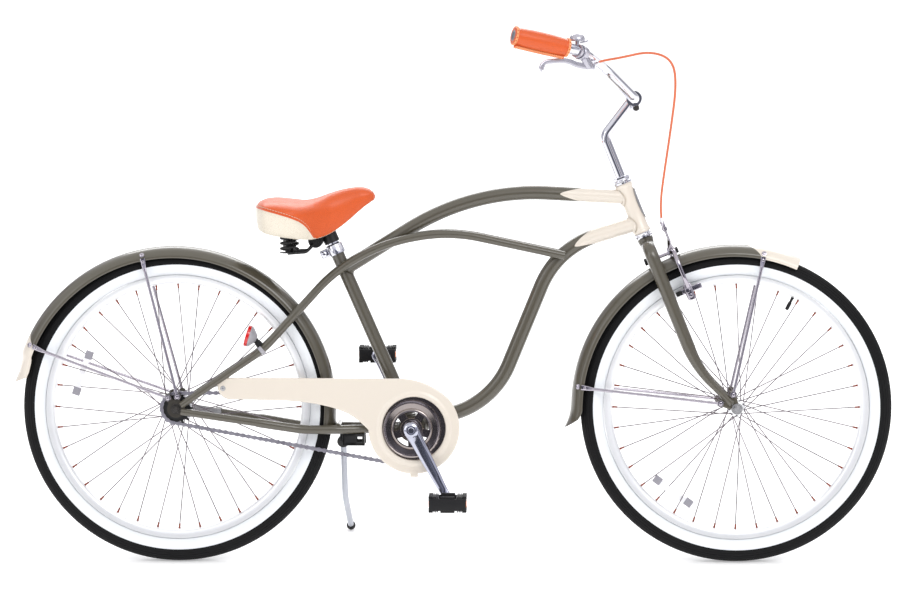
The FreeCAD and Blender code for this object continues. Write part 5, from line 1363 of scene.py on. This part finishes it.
ring = Shell()
toothed(ring, CRANK_AXLE, RING_TEETH, RING_PITCH, 50)
ring.lathe([(63, CHAIN_Y - 1), (62.6, -45.5), (61, -47.4), (58.6, -47.8), (56.6, -46.8), (55, -45.2),
            (44.6, -44.2), (43, -45.6), (41.4, -46.6), (39, -46.8), (37.4, -45.8), (37, -43.6),
            (37, CHAIN_Y), (60, CHAIN_Y)], CRANK_AXLE, sectors=120, close=True)
star = [polar(radius, 72 * arm + 56 + off, CRANK_AXLE) for arm in range(5)
        for radius, off in ((21, -36), (24, -22), (40, -12), (40, 12), (24, 22))]
ring.plate(star, -46, CHAIN_Y, 0.8)
ring.lathe([(8.6, -46.5), (23, -46.5), (24, -45.6), (24, CHAIN_Y), (8.6, CHAIN_Y)], CRANK_AXLE,
           sectors=48)
ring.make("chainring_polished", "crankset", "chrome", [ring_plate_painted_shade], ["chainring"], sharp=28)

CRANK_LENGTH = 167
CRANK_ANGLE = -61.8
# Along the arm, half its width, half its thickness, and how far it stands out
ARM_TABLE = [(-17, 6, 5, 0), (-14.5, 11, 7.5, 0), (-8, 15.8, 8.6, 0), (0, 17, 9, 0),
             (10, 16.4, 8.8, 0.1), (26, 14.8, 7.6, 0.5), (60, 13.4, 6.8, 1.6), (110, 11.2, 6, 5),
             (145, 9.4, 5.8, 8.2), (160, 9.8, 6.4, 9.5), (167, 10.6, 6.8, 9.5), (174, 9.4, 6.4, 9.5),
             (178.4, 4, 4.6, 9.5)]
ARM_BACK = -17
ARM_REACH = 195.4
ARM_ROWS = 61
ARM_Y = 67.5
crank = Shell()
for side, angle in ((-1, CRANK_ANGLE), (1, CRANK_ANGLE + 180)):
    out = ACROSS * side
    run = polar(1, angle)
    lateral = ACROSS.cross(run)
    rows = []
    for step in range(ARM_ROWS):
        along = ARM_BACK + ARM_REACH * step / (ARM_ROWS - 1)
        wide, thick, stand = (table_value(ARM_TABLE, along, column) for column in (1, 2, 3))
        point = CRANK_AXLE + run * along + out * (ARM_Y + stand)
        rows.append([point + lateral * a + ACROSS * b for a, b in slab(wide, thick, 0.62, 28)])
    crank.grid(rows, capped=True)
    crank.lathe([(0, 9), (12.5, 9), (14.5, 9.4), (15.6, 11), (15, 13.4), (12, 15.2), (8, 15.8),
                 (6.4, 15.4), (6, 13.2), (0, 13.2)], CRANK_AXLE + out * ARM_Y, out, 48)
    crank.lathe([(0, 70), (7.2, 70), (7.2, 90.4), (6, 91.4), (4.4, 91.4), (4.4, 170), (0, 170)],
                CRANK_AXLE + run * CRANK_LENGTH, out, 24)
crank.lathe(rod(8.5, -67, 67), CRANK_AXLE, sectors=28)
crank.lathe([(8, -46.4), (13, -46.4), (13, -58), (8, -58)], CRANK_AXLE, sectors=32, close=True)
crank.make("crank_arms", "crankset", "chrome", [arm_chrome_painted_reflection], ["crank"], sharp=40)

# Pedals

PEDAL_Y = 134
for side, word, angle in ((-1, "right", CRANK_ANGLE), (1, "left", CRANK_ANGLE + 180)):
    centre = CRANK_AXLE + polar(CRANK_LENGTH, angle) + ACROSS * (side * PEDAL_Y)
    pedal = Shell()
    pedal.lathe(both_ways([(4.7, -40), (10, -40), (11.5, -36), (9, -30), (8.4, 0)]), centre,
                sectors=32, close=True)
    for fore in (-1, 1):
        boxes = [((fore * 28, 0, 0), (9.6, 37, 13.5)), ((0, fore * 39.2, 0), (39, 2.6, 12.6)),
                 ((0, fore * 35, 0), (15, 3.4, 17))]
        for up in (-1, 1):
            boxes += [((fore * (21.5 + 3.4 * rib), 0, up * 14.2), (1.1, 36.4, 2.2))
                      for rib in range(5)]
            boxes += [((fore * 35.6, -27 + 18 * knob, up * 12.6), (4.4, 4.6, 4.8))
                      for knob in range(4)]
        for middle, half in boxes:
            pedal.block(centre + Vector(middle), half)
    pedal.make("pedal_cage_" + word, word + "_pedal", "black_plastic", [black_plastic],
               ["pedal_" + word], bevel=0.7)
    glow = Shell()
    for fore in (-1, 1):
        glow.block(centre + Vector((fore * 38.2, 0, 0)), (1.9, 26, 6.6))
    glow.make("pedal_reflector_" + word, word + "_pedal", "red_lens", [amber], bevel=0.5)

# Fender stays

STAY_ROD_RADIUS = 3.3


def stay_rods(name, centre, axle, foot_y, ends, body, stands_for):
    """Rods from screwed eyelets beside the axle to flat tabs on the fender's sides."""
    rods = Shell()
    for side in (-1, 1):
        out = ACROSS * side
        for degrees, eye in ends:
            foot = at_side(side * foot_y, axle + eye)
            neck, low, high, nut = (
                at_side(side * (FENDER_HALF + off), polar(FENDER_RADIUS - inside, degrees, centre))
                for off, inside in ((3.3, 42), (2.2, 34), (1.2, 19), (-1.5, 12)))
            run = (neck - foot).normalized()
            rods.tube([foot + run * 5, neck], STAY_ROD_RADIUS, sectors=16)
            rods.sweep([neck - run * 6, neck, low, high],
                       lambda share: slab(3.1 + 2.4 * share, 2.7 - 1.7 * share),
                       side=polar(1, degrees + 90))
            rods.lathe([(0, -3), (6.2, -3), (6.7, -2.4), (6.7, 1), (6, 1.6), (0, 1.6)], foot, out, 28)
            dome_screw(rods, foot + out * 1.5, out, 3.8, 2.6)
            dome_screw(rods, low.lerp(high, 0.5) + out * 0.8, out, 3.2, 2.2)
            dome_screw(rods, nut, out + polar(0.5, degrees), 4.2, 2.6)
    rods.make(name, body, "chrome", [stay_chrome_painted_shade], [stands_for])


stay_rods("rear_stay_rods", REAR_FENDER_CENTRE, REAR_AXLE, REAR_FORK_HALF + 6.4,
          [(101.2, Vector((3, 0, 26.5))), (155.9, Vector((-17, 0, 23.7)))], "frame",
          "rear_fender_stays")
stay_rods("front_stay_rods", FRONT_FENDER_CENTRE, FRONT_AXLE, FRONT_FORK_HALF + 8,
          [(79.3, Vector((-8.5, 0, 31))), (172.3, Vector((-35.5, 0, 12)))], "steering",
          "front_fender_stays")

# Hubs and axles

REAR_HUB = both_ways([(4.9, -36), (9.5, -36), (11, -35), (12.5, -33), (20, -31.2), (29, -30.6),
                      (30, -29.8), (30, -28), (29.2, -27.4), (24, -26.6), (22.3, -24), (22, -18),
                      (21.6, 0)])
FRONT_HUB = both_ways([(4.9, -38), (8.6, -38), (10, -37), (11.5, -33), (17.6, -31.6), (19, -31),
                       (19, -29), (18.2, -28.4), (14, -27.4), (12.4, -24), (11.6, -12), (11.4, 0)])
THREAD_PITCH = 1.2


def axle_set(name, axle, fork_half, body, coat, node):
    """A threaded axle with its cones inside the fork ends, and washers and nuts outside."""
    reach = fork_half + 16
    threads = [(0, -reach), (4, -reach)]
    for side in (-1, 1):
        first = -reach + 0.6 if side < 0 else fork_half + 2
        for turn in range(11):
            threads += [(4.1, first + THREAD_PITCH * turn), (4.7, first + THREAD_PITCH * (turn + 0.5))]
    threads += [(4, reach), (0, reach)]
    steelwork = Shell()
    steelwork.lathe(threads, axle, sectors=20)
    for side in (-1, 1):
        out = ACROSS * side
        seat = axle + out * (fork_half + 4)
        steelwork.lathe([(4.8, -0.8), (11, -0.8), (11.4, -0.4), (11.4, 0.6), (11, 0.9), (4.8, 0.9)],
                        seat, out, 32, close=True)
        hex_nut(steelwork, seat + out * 0.9, out, 15, 7.4)
        steelwork.lathe([(4.8, -5), (8.4, -5), (9, -4.4), (9, -0.6), (8.6, 0), (4.8, 0)],
                        axle + out * (fork_half - 4), out, 28, close=True)
    steelwork.make(name, body, "steel", [coat], [node])


for word, axle, profile, fork_half, body, coat in (
        ("rear", REAR_AXLE, REAR_HUB, REAR_FORK_HALF, "frame", dark_steel),
        ("front", FRONT_AXLE, FRONT_HUB, FRONT_FORK_HALF, "steering", steel)):
    hub = Shell()
    hub.lathe(profile, axle, sectors=56, close=True)
    hub.make(word + "_hub_shell", word + "_wheel", "steel", [rim_silver], [word + "_hub"], sharp=40)
    axle_set(word + "_axle_nuts", axle, fork_half, body, coat, word + "_axle")

# Valves and spoke reflectors

for word, axle, valve_at, lens_at, lens_reach in (("rear", REAR_AXLE, 5, 160.8, 219.5),
                                                  ("front", FRONT_AXLE, 62.8, 233.7, 228.5)):
    body = word + "_wheel"
    valve = Shell()
    for profile in ([(0, -2), (3.4, -2), (3.6, 3), (3, 6), (2.8, 14), (0, 14)],
                    [(0, 12), (3.6, 12), (4, 13), (4, 27), (3.2, 30), (0, 30.4)]):
        valve.lathe(profile, polar(RIM_INNER, valve_at, axle), -polar(1, valve_at), 16)
    valve.make(word + "_valve_cap", body, "black_plastic", [black_plastic])
    lens = Shell()
    clips = Shell()
    middle = polar(lens_reach, lens_at, axle)
    along = polar(1, lens_at + 90)
    away = polar(1, lens_at)
    lens.sweep([middle + along * reach - away * (reach * reach / 900) for reach in range(-38, 39, 4)],
               slab(3.2, 6.5))
    lens.make(word + "_spoke_reflector", body, "rim", [clear_plastic])
    for reach in (-41, 41):
        end = middle + along * reach - away * 2.2
        clips.sweep([end + along * step for step in (-8.5, -7, 7, 8.5)], slab(4.4, 8.5, 0.4))
    clips.make(word + "_reflector_clips", body, "black_plastic", [clip_plastic], bevel=0.4)

# Cog and chain

cog = Shell()
toothed(cog, REAR_AXLE, COG_TEETH, COG_PITCH, 17)
cog.lathe([(5.2, -44), (15, -44), (20, -43.4), (24, -43), (24, -40.8), (5.2, -40.8)], REAR_AXLE,
          sectors=48, close=True)
cog.make("rear_cog_teeth", "frame", "black_metal", [black_metal], ["rear_cog"], sharp=28)

gap = CRANK_AXLE - REAR_AXLE
slope = math.degrees(math.atan2(gap.z, gap.x))
spread = math.degrees(math.acos((RING_PITCH - COG_PITCH) / gap.length))
loop = arc(RING_PITCH, slope - spread, slope + spread, CRANK_AXLE, 1.0)
loop += arc(COG_PITCH, slope + spread, slope + 360 - spread, REAR_AXLE, 2.5)
loop.append(loop[0])
LINKS = 2 * round(path_length(loop) / CHAIN_PITCH / 2)
pins = [at_side(CHAIN_Y, point) for point in spaced(loop, LINKS)]
LINK_TOP = [(-10.8, 0), (-9.5, 3.3), (-6.35, 4.6), (-3.2, 3.5), (0, 2.8), (3.2, 3.5), (6.35, 4.6),
            (9.5, 3.3), (10.8, 0)]
LINK_EDGE = LINK_TOP + [(x, -z) for x, z in LINK_TOP[-2:0:-1]]


def link_shape(near, far, pin_radius, pin_reach):
    """A chain link along X: a pair of waisted plates and the two pins or rollers of the pair."""
    shape = Shell()
    count = len(LINK_EDGE)
    for side in (-1, 1):
        first = len(shape.points)
        shape.grid([[Vector((x, side * y, z)) for x, z in LINK_EDGE] for y in (near, far)])
        for start in (first, first + count):
            shape.face(range(start, start + count))
    for x in (-CHAIN_PITCH / 2, CHAIN_PITCH / 2):
        shape.lathe(rod(pin_radius, -pin_reach, pin_reach), Vector((x, 0, 0)), sectors=8)
    return shape


for word, first, shape in (("outer", 0, link_shape(2.9, 3.9, 1.8, 4.3)),
                           ("inner", 1, link_shape(1.7, 2.7, 3.9, 1.7))):
    spots = [((pins[i] + pins[i + 1]) / 2, pins[i + 1] - pins[i]) for i in range(first, LINKS, 2)]
    line_of(shape, spots, "chain_" + word + "_links", "frame", "steel", chain_steel,
            stands_for=["chain"] if word == "outer" else ())

# Rear reflector on the right side tube

corner = flipped(SIDE_POINTS[5], -1)
back = (flipped(SIDE_POINTS[4], -1) - corner).normalized()
ahead = (flipped(SIDE_POINTS[6], -1) - corner).normalized()
half = back.angle(ahead) / 2
clamp_at = corner + (back + ahead).normalized() * SIDE_BENDS[-1] * (1 / math.sin(half) - 1)
tail_way = (ahead - back).normalized()
LENS_CENTRE = clamp_at + Vector((-21, -2, 28))
LENS_WAY = Vector((-0.958, 0, 0.288)).normalized()
housing = Shell()
housing.lathe([(0, -12), (6, -12), (8, -11), (20, -1), (22.4, 2.0), (22.4, 4.4), (22, 5), (0, 5)],
              LENS_CENTRE, LENS_WAY, 48)
housing.lathe(both_ways([(9.3, -4), (11.2, -4), (11.6, -3.4)]), clamp_at, tail_way, 40, close=True)
housing.make("rear_reflector_housing", "frame", "steel", [lens_grey], ["rear_reflector"])
joint = Shell()
joint.sweep([clamp_at + Vector((-3, 0, 10)), clamp_at + Vector((-9, -1, 17)),
             LENS_CENTRE - LENS_WAY * 5], slab(5.5, 6))
joint.lathe(both_ways([(0, -7.5), (6.5, -7.5), (7, -7)]), clamp_at + Vector((-5, -0.5, 13)),
            sectors=24)
joint.make("rear_reflector_joint", "frame", "black_plastic", [black_plastic], bevel=0.4)
glow = Shell()
glow.lathe([(0, 4.6), (23, 4.6), (23.2, 5.4), (23.2, 10.6), (22, 11.8), (0, 12)], LENS_CENTRE,
           LENS_WAY, 48)
glow.make("rear_reflector_lens", "frame", "red_lens", [red_lens])

# Fork

fork = Shell()
for side in (-1, 1):
    path = rounded([steer(0, side * 5, -18), steer(0, side * 51, -24), steer(0, side * 51, -300),
                    FRONT_AXLE + Vector((-11, side * FRONT_FORK_HALF, 11))], [24, 300], 4)
    fork.sweep(path, lambda share: circle(14.2 - 6.2 * max(share - 0.25, 0) / 0.75),
               side=STEER_AHEAD)
    ends = at_side(side * FRONT_FORK_HALF, FRONT_AXLE)
    fork.lathe(both_ways([(5.2, -2.5), (11.4, -2.5), (12, -1.9)]), ends, sectors=36, close=True)
    for eye in (Vector((-8.5, 0, 31)), Vector((-35.5, 0, 12))):
        fork.lathe(both_ways([(0, -2.5), (7.4, -2.5), (8, -1.9)]), ends + eye, sectors=28)
        fork.sweep([ends + eye * 0.32, ends + eye], slab(2.5, 6, 0.5))
fork.lathe([(0, -38), (11, -38), (13, -36), (14.4, -30), (15, -16), (17, -6), (17, -0.6),
            (12.6, -0.6), (12.6, 118), (0, 118)], HEAD_FOOT, STEER_UP, 48)
strut = (FRONT_FENDER_CENTRE - steer(0, 0, -34)).normalized()
fork.tube([steer(0, 0, -26), FRONT_FENDER_CENTRE - strut * (FENDER_RADIUS + 0.5)], 7, sectors=24)
fork.make("fork_bent", "steering", "olive_paint", [olive_paint], ["fork"])

# Front brake

BOLT = steer(46, 0, -50)


def shoe_place(ahead, out):
    """A point beside the rim, with the ways along the rim and away from the axle there."""
    spot = steer(ahead, out, -137)
    radial = (at_side(0, spot) - FRONT_AXLE).normalized()
    return spot, ACROSS.cross(radial).normalized(), radial


caliper = Shell()
for side, ahead in ((-1, 46), (1, 38.6)):
    out = ACROSS * side
    arm = rounded([steer(ahead, -side * 5, -46), steer(ahead, side * 30, -54),
                   steer(ahead, side * 45, -74), steer(ahead, side * 45, -114),
                   steer(ahead, side * 34, -138)], [18, 30, 40], 3)
    caliper.sweep(arm, lambda share: slab(8.6 - 3.0 * share, 4.8),
                  side=steer(0, 1, -0.4) - HEAD_FOOT)
    pull = rounded([steer(ahead, 0, -50), steer(ahead, -22, -44),
                    steer(46, -34, -22 if side > 0 else 4)], [16], 3)
    caliper.sweep(pull, lambda share: slab(7 - 2 * share, 1.9), side=STEER_UP)
    foot, tangent, radial = shoe_place(42.5, side * 36)
    caliper.sweep([foot - radial * 11 - out * 1.5, foot - radial * 9, foot + radial * 9,
                   foot + radial * 11 - out * 1.5], slab(6.6, 1.7, 0.8), side=tangent)
    caliper.lathe([(0, -2), (5.4, -2), (5.8, -1), (5.8, 3), (5, 4), (0, 4)], foot, out, 24)
    hex_nut(caliper, foot + out * 3.6, out, 9, 5)
    holder = at_side(side * 31, foot) + tangent * 8
    caliper.sweep([holder - tangent * 20, holder + tangent * 24], slab(6.0, 1.4, 0.5), side=radial)
    shoe = at_side(side * 38.5, foot) + STEER_AHEAD * 3 - STEER_UP * 3
    caliper.sweep([shoe + STEER_UP * level for level in (-19, -16, 16, 19)],
                  lambda share: slab(5.5 if share in (0, 1) else 8.6, 2.2, 0.8), side=STEER_AHEAD)
    for level in (-9, 9):
        caliper.lathe([(0, 0), (4.6, 0), (4.2, 2.4), (0, 2.8)], shoe + STEER_UP * level + out * 2,
                      out, 20)
caliper.lathe(rod(3.9, -64, 4), BOLT, STEER_AHEAD, 20)
caliper.lathe([(0, 3.4), (7.4, 3.4), (7.8, 4), (7.8, 5), (7.2, 5.6), (0, 5.6)], BOLT,
              STEER_AHEAD, 28)
caliper.lathe([(0, -44), (2.4, -44), (2.4, -22), (4.6, -21), (5.4, -20), (5.4, -13), (4.4, -12),
               (4.4, -4), (5, -3), (4.2, 0), (3.2, 0.4), (3.2, 4), (0, 4)], CABLE_STOP, STEER_UP, 20)
caliper.make("brake_caliper", "steering", "chrome", [stay_chrome_painted_shade], ["front_brake"], bevel=0.3)
darker = Shell()
hex_nut(darker, BOLT + STEER_AHEAD * 5.4, STEER_AHEAD, 11, 5.6)
hex_nut(darker, BOLT - STEER_AHEAD * 66, STEER_AHEAD, 13, 8)
for side in (-1, 1):
    foot, tangent, radial = shoe_place(42, side * 26.7)
    darker.sweep([foot + tangent * along for along in (-25, -23, 23, 25)], slab(5, 4.4, 0.4),
                 side=radial)
    darker.tube(rounded([steer(46.8, 0, -54), steer(46.8, side * 28, -62),
                         steer(46.8, side * 40, -100)], [22], 3), 1.1, sectors=8)
darker.make("brake_pads_spring", "steering", "black_plastic", [black_plastic])

# Head badge

BADGE_MIDDLE = 74
BADGE_HALF = 36
BADGE_STEPS = 24
BADGE_THICK = 0.9
plate = Shell()
rows = []
for step in range(BADGE_STEPS + 1):
    share = -1 + 2 * step / BADGE_STEPS
    wide = 0.72 * math.sqrt(max(1 - abs(share) ** 2.6, 0.004))
    lift = 17.9 + 1.1 * share ** 4
    ring = [(lift + BADGE_THICK, k) for k in range(-8, 9)] + [(lift, k) for k in range(8, -9, -1)]
    rows.append([steer(radius * math.cos(wide * k / 8), radius * math.sin(wide * k / 8),
                       BADGE_MIDDLE + BADGE_HALF * share) for radius, k in ring])
plate.grid(rows, capped=True)
plate.make("head_badge_plate", "frame", "chrome", [steel], ["head_badge"], sharp=50)

# Side stand

HINGE_TILT = math.radians(18)
HINGE = Vector((0, math.cos(HINGE_TILT), math.sin(HINGE_TILT)))
PIVOT = Vector((352, 42, 257))
KNEE = PIVOT + Vector((2, 34, -127))
LEG_RADIUS = 6.5
leg = Shell()
leg.tube(rounded([PIVOT, KNEE, STAND_FOOT], [60], 4), LEG_RADIUS, side=AHEAD)
leg.lathe(both_ways([(4.1, -7.4), (9.4, -7.4), (10, -6.8)]), PIVOT, HINGE, 36, close=True)
leg.make("stand_leg_rod", "side_stand", "steel", [stand_silver], ["stand_leg"])
BALL_RADIUS = 9.95
ball = Shell()
ball.lathe([(0, -9.9)] + [(BALL_RADIUS * math.sin(math.pi * k / 12),
                           -BALL_RADIUS * math.cos(math.pi * k / 12)) for k in range(1, 12)]
           + [(0, 9.9)], STAND_FOOT, STAND_FOOT - KNEE, 28)
ball.make("stand_foot_ball", "side_stand", "black_plastic", [black_plastic])

CASTING_TOP = 276.7
CLAMP_PLATE_TOP = 287
casting = Shell()
for low, high in (((354, -37, 251.7), (401, -32, 258.7)), ((354, -37, 251.7), (383, -32, 276.7)),
                  ((396, -37, 251.7), (401, -32, 276.7)), ((354, -37, 270.7), (401, 37, 276.7)),
                  ((354, 32, 251.7), (401, 37, 258.7)), ((372, 32, 251.7), (383, 37, 276.7)),
                  ((396, 32, 251.7), (401, 37, 276.7)), ((396, -37, 251.7), (401, 37, 276.7)),
                  ((354, -37, 251.7), (359, 26, 276.7)), ((363, -24, 284), (391, 24, CLAMP_PLATE_TOP))):
    low, high = Vector(low), Vector(high)
    casting.block((low + high) / 2, (high - low) / 2)
casting.lathe([(0, -13.6), (12.4, -13.6), (13, -13), (13, -8.4), (12.4, -7.9), (0, -7.9)], PIVOT,
              HINGE, 36)
casting.block(PIVOT + Vector((5, -20, 6)), (11, 6, 9))
casting.lathe([(0, -8), (3.9, -8), (3.9, 8), (7.4, 8), (8, 8.6), (8, 11), (7.2, 11.8), (0, 11.8)],
              PIVOT, HINGE, 28)
casting.lathe(rod(4, -8, 16), Vector((377, 0, CASTING_TOP)), UPWARD, 20)
hex_nut(casting, Vector((377, 0, CLAMP_PLATE_TOP)), UPWARD, 12, 6)
casting.make("stand_casting", "frame", "black_metal", [black_metal], ["stand_bracket"], bevel=0.6)

# Stitches

STITCH_PITCH = 6.0


def stitch(length, radius, end_radius):
    """A short thread along X that thins out at both ends; length gives its two half lengths."""
    far, near = length
    shape = Shell()
    shape.sweep([Vector((x, 0, 0)) for x in (-far, -near, near, far)],
                lambda share: circle(end_radius if share in (0, 1) else radius, 6))
    return shape


spots = []
for side in (-1, 1):
    edge_line = panel_edge(side, 0.2, 4.2)
    line = spaced(edge_line, round(path_length(edge_line) / STITCH_PITCH))
    spots += [(point, after - point) for point, after in zip(line, line[1:])]
line_of(stitch((2.3, 1.6), 0.62, 0.28), spots, "saddle_stitches", "frame", "orange_leather", thread)

LACE_RING = 16
LACE_STEPS = 22
SEAM_DROP = 19.2
for side, word in ((-1, "right"), (1, "left")):
    end, back = grip_end(side)
    down = (back * back.z - UPWARD).normalized()
    beside = back.cross(down)
    spots = []
    for ring in (-3.4, 3.4 - GRIP_REACH):
        for index in range(LACE_RING):
            angle = 2 * math.pi * index / LACE_RING
            out = down * math.cos(angle) + beside * math.sin(angle)
            for lean_way in (-0.75, 0.75):
                spots.append((end + back * ring + out * 18.5, back.cross(out) + back * lean_way))
    for index in range(LACE_STEPS):
        along = end - back * (8 + (GRIP_REACH - 16) * (index + 0.5) / LACE_STEPS)
        for face in (-1, 1):
            spots.append((along + down * (SEAM_DROP + 2.6) + beside * (face * 2.6),
                          back * 0.9 + down * face * 0.5))
        spots.append((along + down * (SEAM_DROP + 5.2), beside + back * 0.4))
    line_of(stitch((4.0, 2.4), 1.25, 0.6), spots, "grip_lacing_" + word, "steering",
            "orange_leather", lace_leather, side=Vector((0, 0.3, 1)))
    seam_strip = Shell()
    seam_strip.sweep([end - back * 6 + down * SEAM_DROP,
                      end - back * (GRIP_REACH / 2) + down * (SEAM_DROP + 0.8),
                      end - back * (GRIP_REACH - 6) + down * SEAM_DROP],
                     slab(2.0, 5.4, 0.6), side=beside)
    seam_strip.make("grip_seam_" + word, "steering", "orange_leather", [orange_leather])

# Camera, light and floor

CAMERA_PLACE = Vector((757.4, -8144.1, 1111.6))
CAMERA_YAW = -1.225
CAMERA_PITCH = 3.865
CAMERA_ROLL = -0.066
FOCAL_PIXELS = 3815
PHOTO_WIDTH = 900
SENSOR_WIDTH = 36

yaw = math.radians(CAMERA_YAW)
pitch = math.radians(CAMERA_PITCH)
roll = math.radians(CAMERA_ROLL)
ahead = Vector((math.sin(yaw) * math.cos(pitch), math.cos(yaw) * math.cos(pitch),
                -math.sin(pitch)))
level = Vector((math.cos(yaw), -math.sin(yaw), 0))
above = level.cross(ahead)
right = level * math.cos(roll) + above * math.sin(roll)
top = above * math.cos(roll) - level * math.sin(roll)
lean = STANCE.to_3x3() * (1 / MM)
turn = Matrix((lean @ right, lean @ top, lean @ -ahead)).transposed()
camera = bpy.data.objects.new("camera", bpy.data.cameras.new("camera"))
camera.data.lens = FOCAL_PIXELS / PHOTO_WIDTH * SENSOR_WIDTH
camera.data.sensor_width = SENSOR_WIDTH
camera.data.clip_end = 60
camera.matrix_world = Matrix.Translation(STANCE @ CAMERA_PLACE) @ turn.to_4x4()
bpy.context.collection.objects.link(camera)
bpy.context.scene.camera = camera


def lamp(name, place, target, size, power):
    light = bpy.data.lights.new(name, "AREA")
    light.shape = "RECTANGLE"
    light.size, light.size_y = size
    light.energy = power
    holder = bpy.data.objects.new(name, light)
    holder.location = place
    holder.rotation_euler = (Vector(target) - Vector(place)).to_track_quat("-Z", "Y").to_euler()
    bpy.context.collection.objects.link(holder)


lamp("key", (1.8, -3.0, 3.6), (0, 0, 0.5), (2.6, 1.8), 58)
lamp("fill", (-3.2, -2.6, 2.0), (0, 0, 0.5), (1.6, 2.6), 20)
lamp("back_light", (0.0, 3.2, 2.8), (0, 0, 0.6), (4.0, 1.2), 66)


def tone_ramp(tree, place, stops, tint):
    """Tinted greys along a ramp. stops gives places on it and how light each one is."""
    ramp = put(tree, "ShaderNodeValToRGB", {"Fac": place})
    for index, (share, tone) in enumerate(stops):
        stop = ramp.color_ramp.elements[0] if index == 0 else ramp.color_ramp.elements.new(share)
        stop.position = share
        stop.color = (tone * tint[0], tone * tint[1], tone * tint[2], 1)
    return ramp.outputs[0]


WALL_TONE = (0.10, 0.09, 0.11, 1)
PANEL_TONE = (0.72, 0.72, 0.78, 1)
ROOM_TINT = (1, 1.03, 1.25)
world = bpy.data.worlds.new("studio")
bpy.context.scene.world = world
world.use_nodes = True
room = world.node_tree
sky = room.nodes["Background"]
place = put(room, "ShaderNodeTexCoord").outputs["Generated"]
way = put(room, "ShaderNodeSeparateXYZ", {"Vector": place})
backdrop = span(room, way.outputs["Y"], 0.86, 0.93)
ceiling = span(room, way.outputs["Z"], 0.40, 0.66)
height = span(room, way.outputs["Z"], -0.25, 0.75)
front = tone_ramp(room, height, ((0.0, 0.30), (0.20, 0.10), (0.30, 0.07), (0.42, 0.12), (0.50, 0.30),
                                 (0.53, 0.05), (0.60, 0.05), (0.64, 0.60)), ROOM_TINT)
walls = blend_colours(room, span(room, way.outputs["Y"], 0.05, 0.35), front, WALL_TONE)
# Tall lit panels stand left and right of the camera
panel = tone_ramp(room, calc(room, "ABSOLUTE", way.outputs["X"]),
                  ((0.0, 0), (0.27, 0), (0.31, 1), (0.50, 1), (0.54, 0), (0.66, 0), (0.70, 1),
                   (0.84, 1), (0.88, 0)), (1, 1, 1))
walls = blend_colours(room, panel, walls, PANEL_TONE)
bright = calc(room, "MAXIMUM", backdrop, calc(room, "MULTIPLY", ceiling, 0.95))
feed(room, sky.inputs["Color"], blend_colours(room, bright, walls, (1, 1, 1, 1)))
sky.inputs["Strength"].default_value = 1.1

FLOOR_HALF = 14
FLOOR_LEVEL = -0.0005
floor_mesh = bpy.data.meshes.new("floor")
floor_mesh.from_pydata([(x * FLOOR_HALF, y * FLOOR_HALF, FLOOR_LEVEL)
                        for x, y in ((-1, -1), (1, -1), (1, 1), (-1, 1))], [], [(0, 1, 2, 3)])
pale_floor = finish("pale_floor", (0.93, 0.93, 0.93), 0.75, tone=0.01)
glowing = pale_floor.node_tree.nodes["Principled BSDF"].inputs
glowing["Emission Color"].default_value = (1, 1, 1, 1)
glowing["Emission Strength"].default_value = 0.34
floor_mesh.materials.append(pale_floor)
floor = bpy.data.objects.new("floor", floor_mesh)
bpy.context.collection.objects.link(floor)
bpy.context.scene.view_settings.view_transform = "Standard"

# Finishes of the CAD pieces, shown or stood for

for material, nodes in (
        (olive_paint, "bottom_bracket seat_tube top_tube down_tube side_tube_right side_tube_left "
                      "chain_stay_right chain_stay_left frame_bridges rear_fender front_fender fork"),
        (cream_paint, "head_tube chain_guard"),
        # The dropouts take the darker olive copy, which is painted shade.
        (olive_painted_shade, "dropout_right dropout_left"),
        (chrome, "seat_post seat_clamp rear_fender_stays front_fender_stays headset_cups headset_nut "
                 "stem handlebar brake_lever bell front_brake crank chainring front_hub head_badge"),
        (steel, "rear_cog chain stand_leg rear_axle front_axle rear_hub coaster_arm bracket_cups"),
        (black_metal, "saddle_clamp saddle_springs saddle_rails stand_bracket"),
        (orange_leather, "saddle grip_right grip_left"),
        (black_plastic, "pedal_right pedal_left"),
        (orange_jacket, "brake_cable"),
        (red_lens, "rear_reflector")):
    for node in nodes.split():
        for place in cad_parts[node].material_slots:
            place.material = material
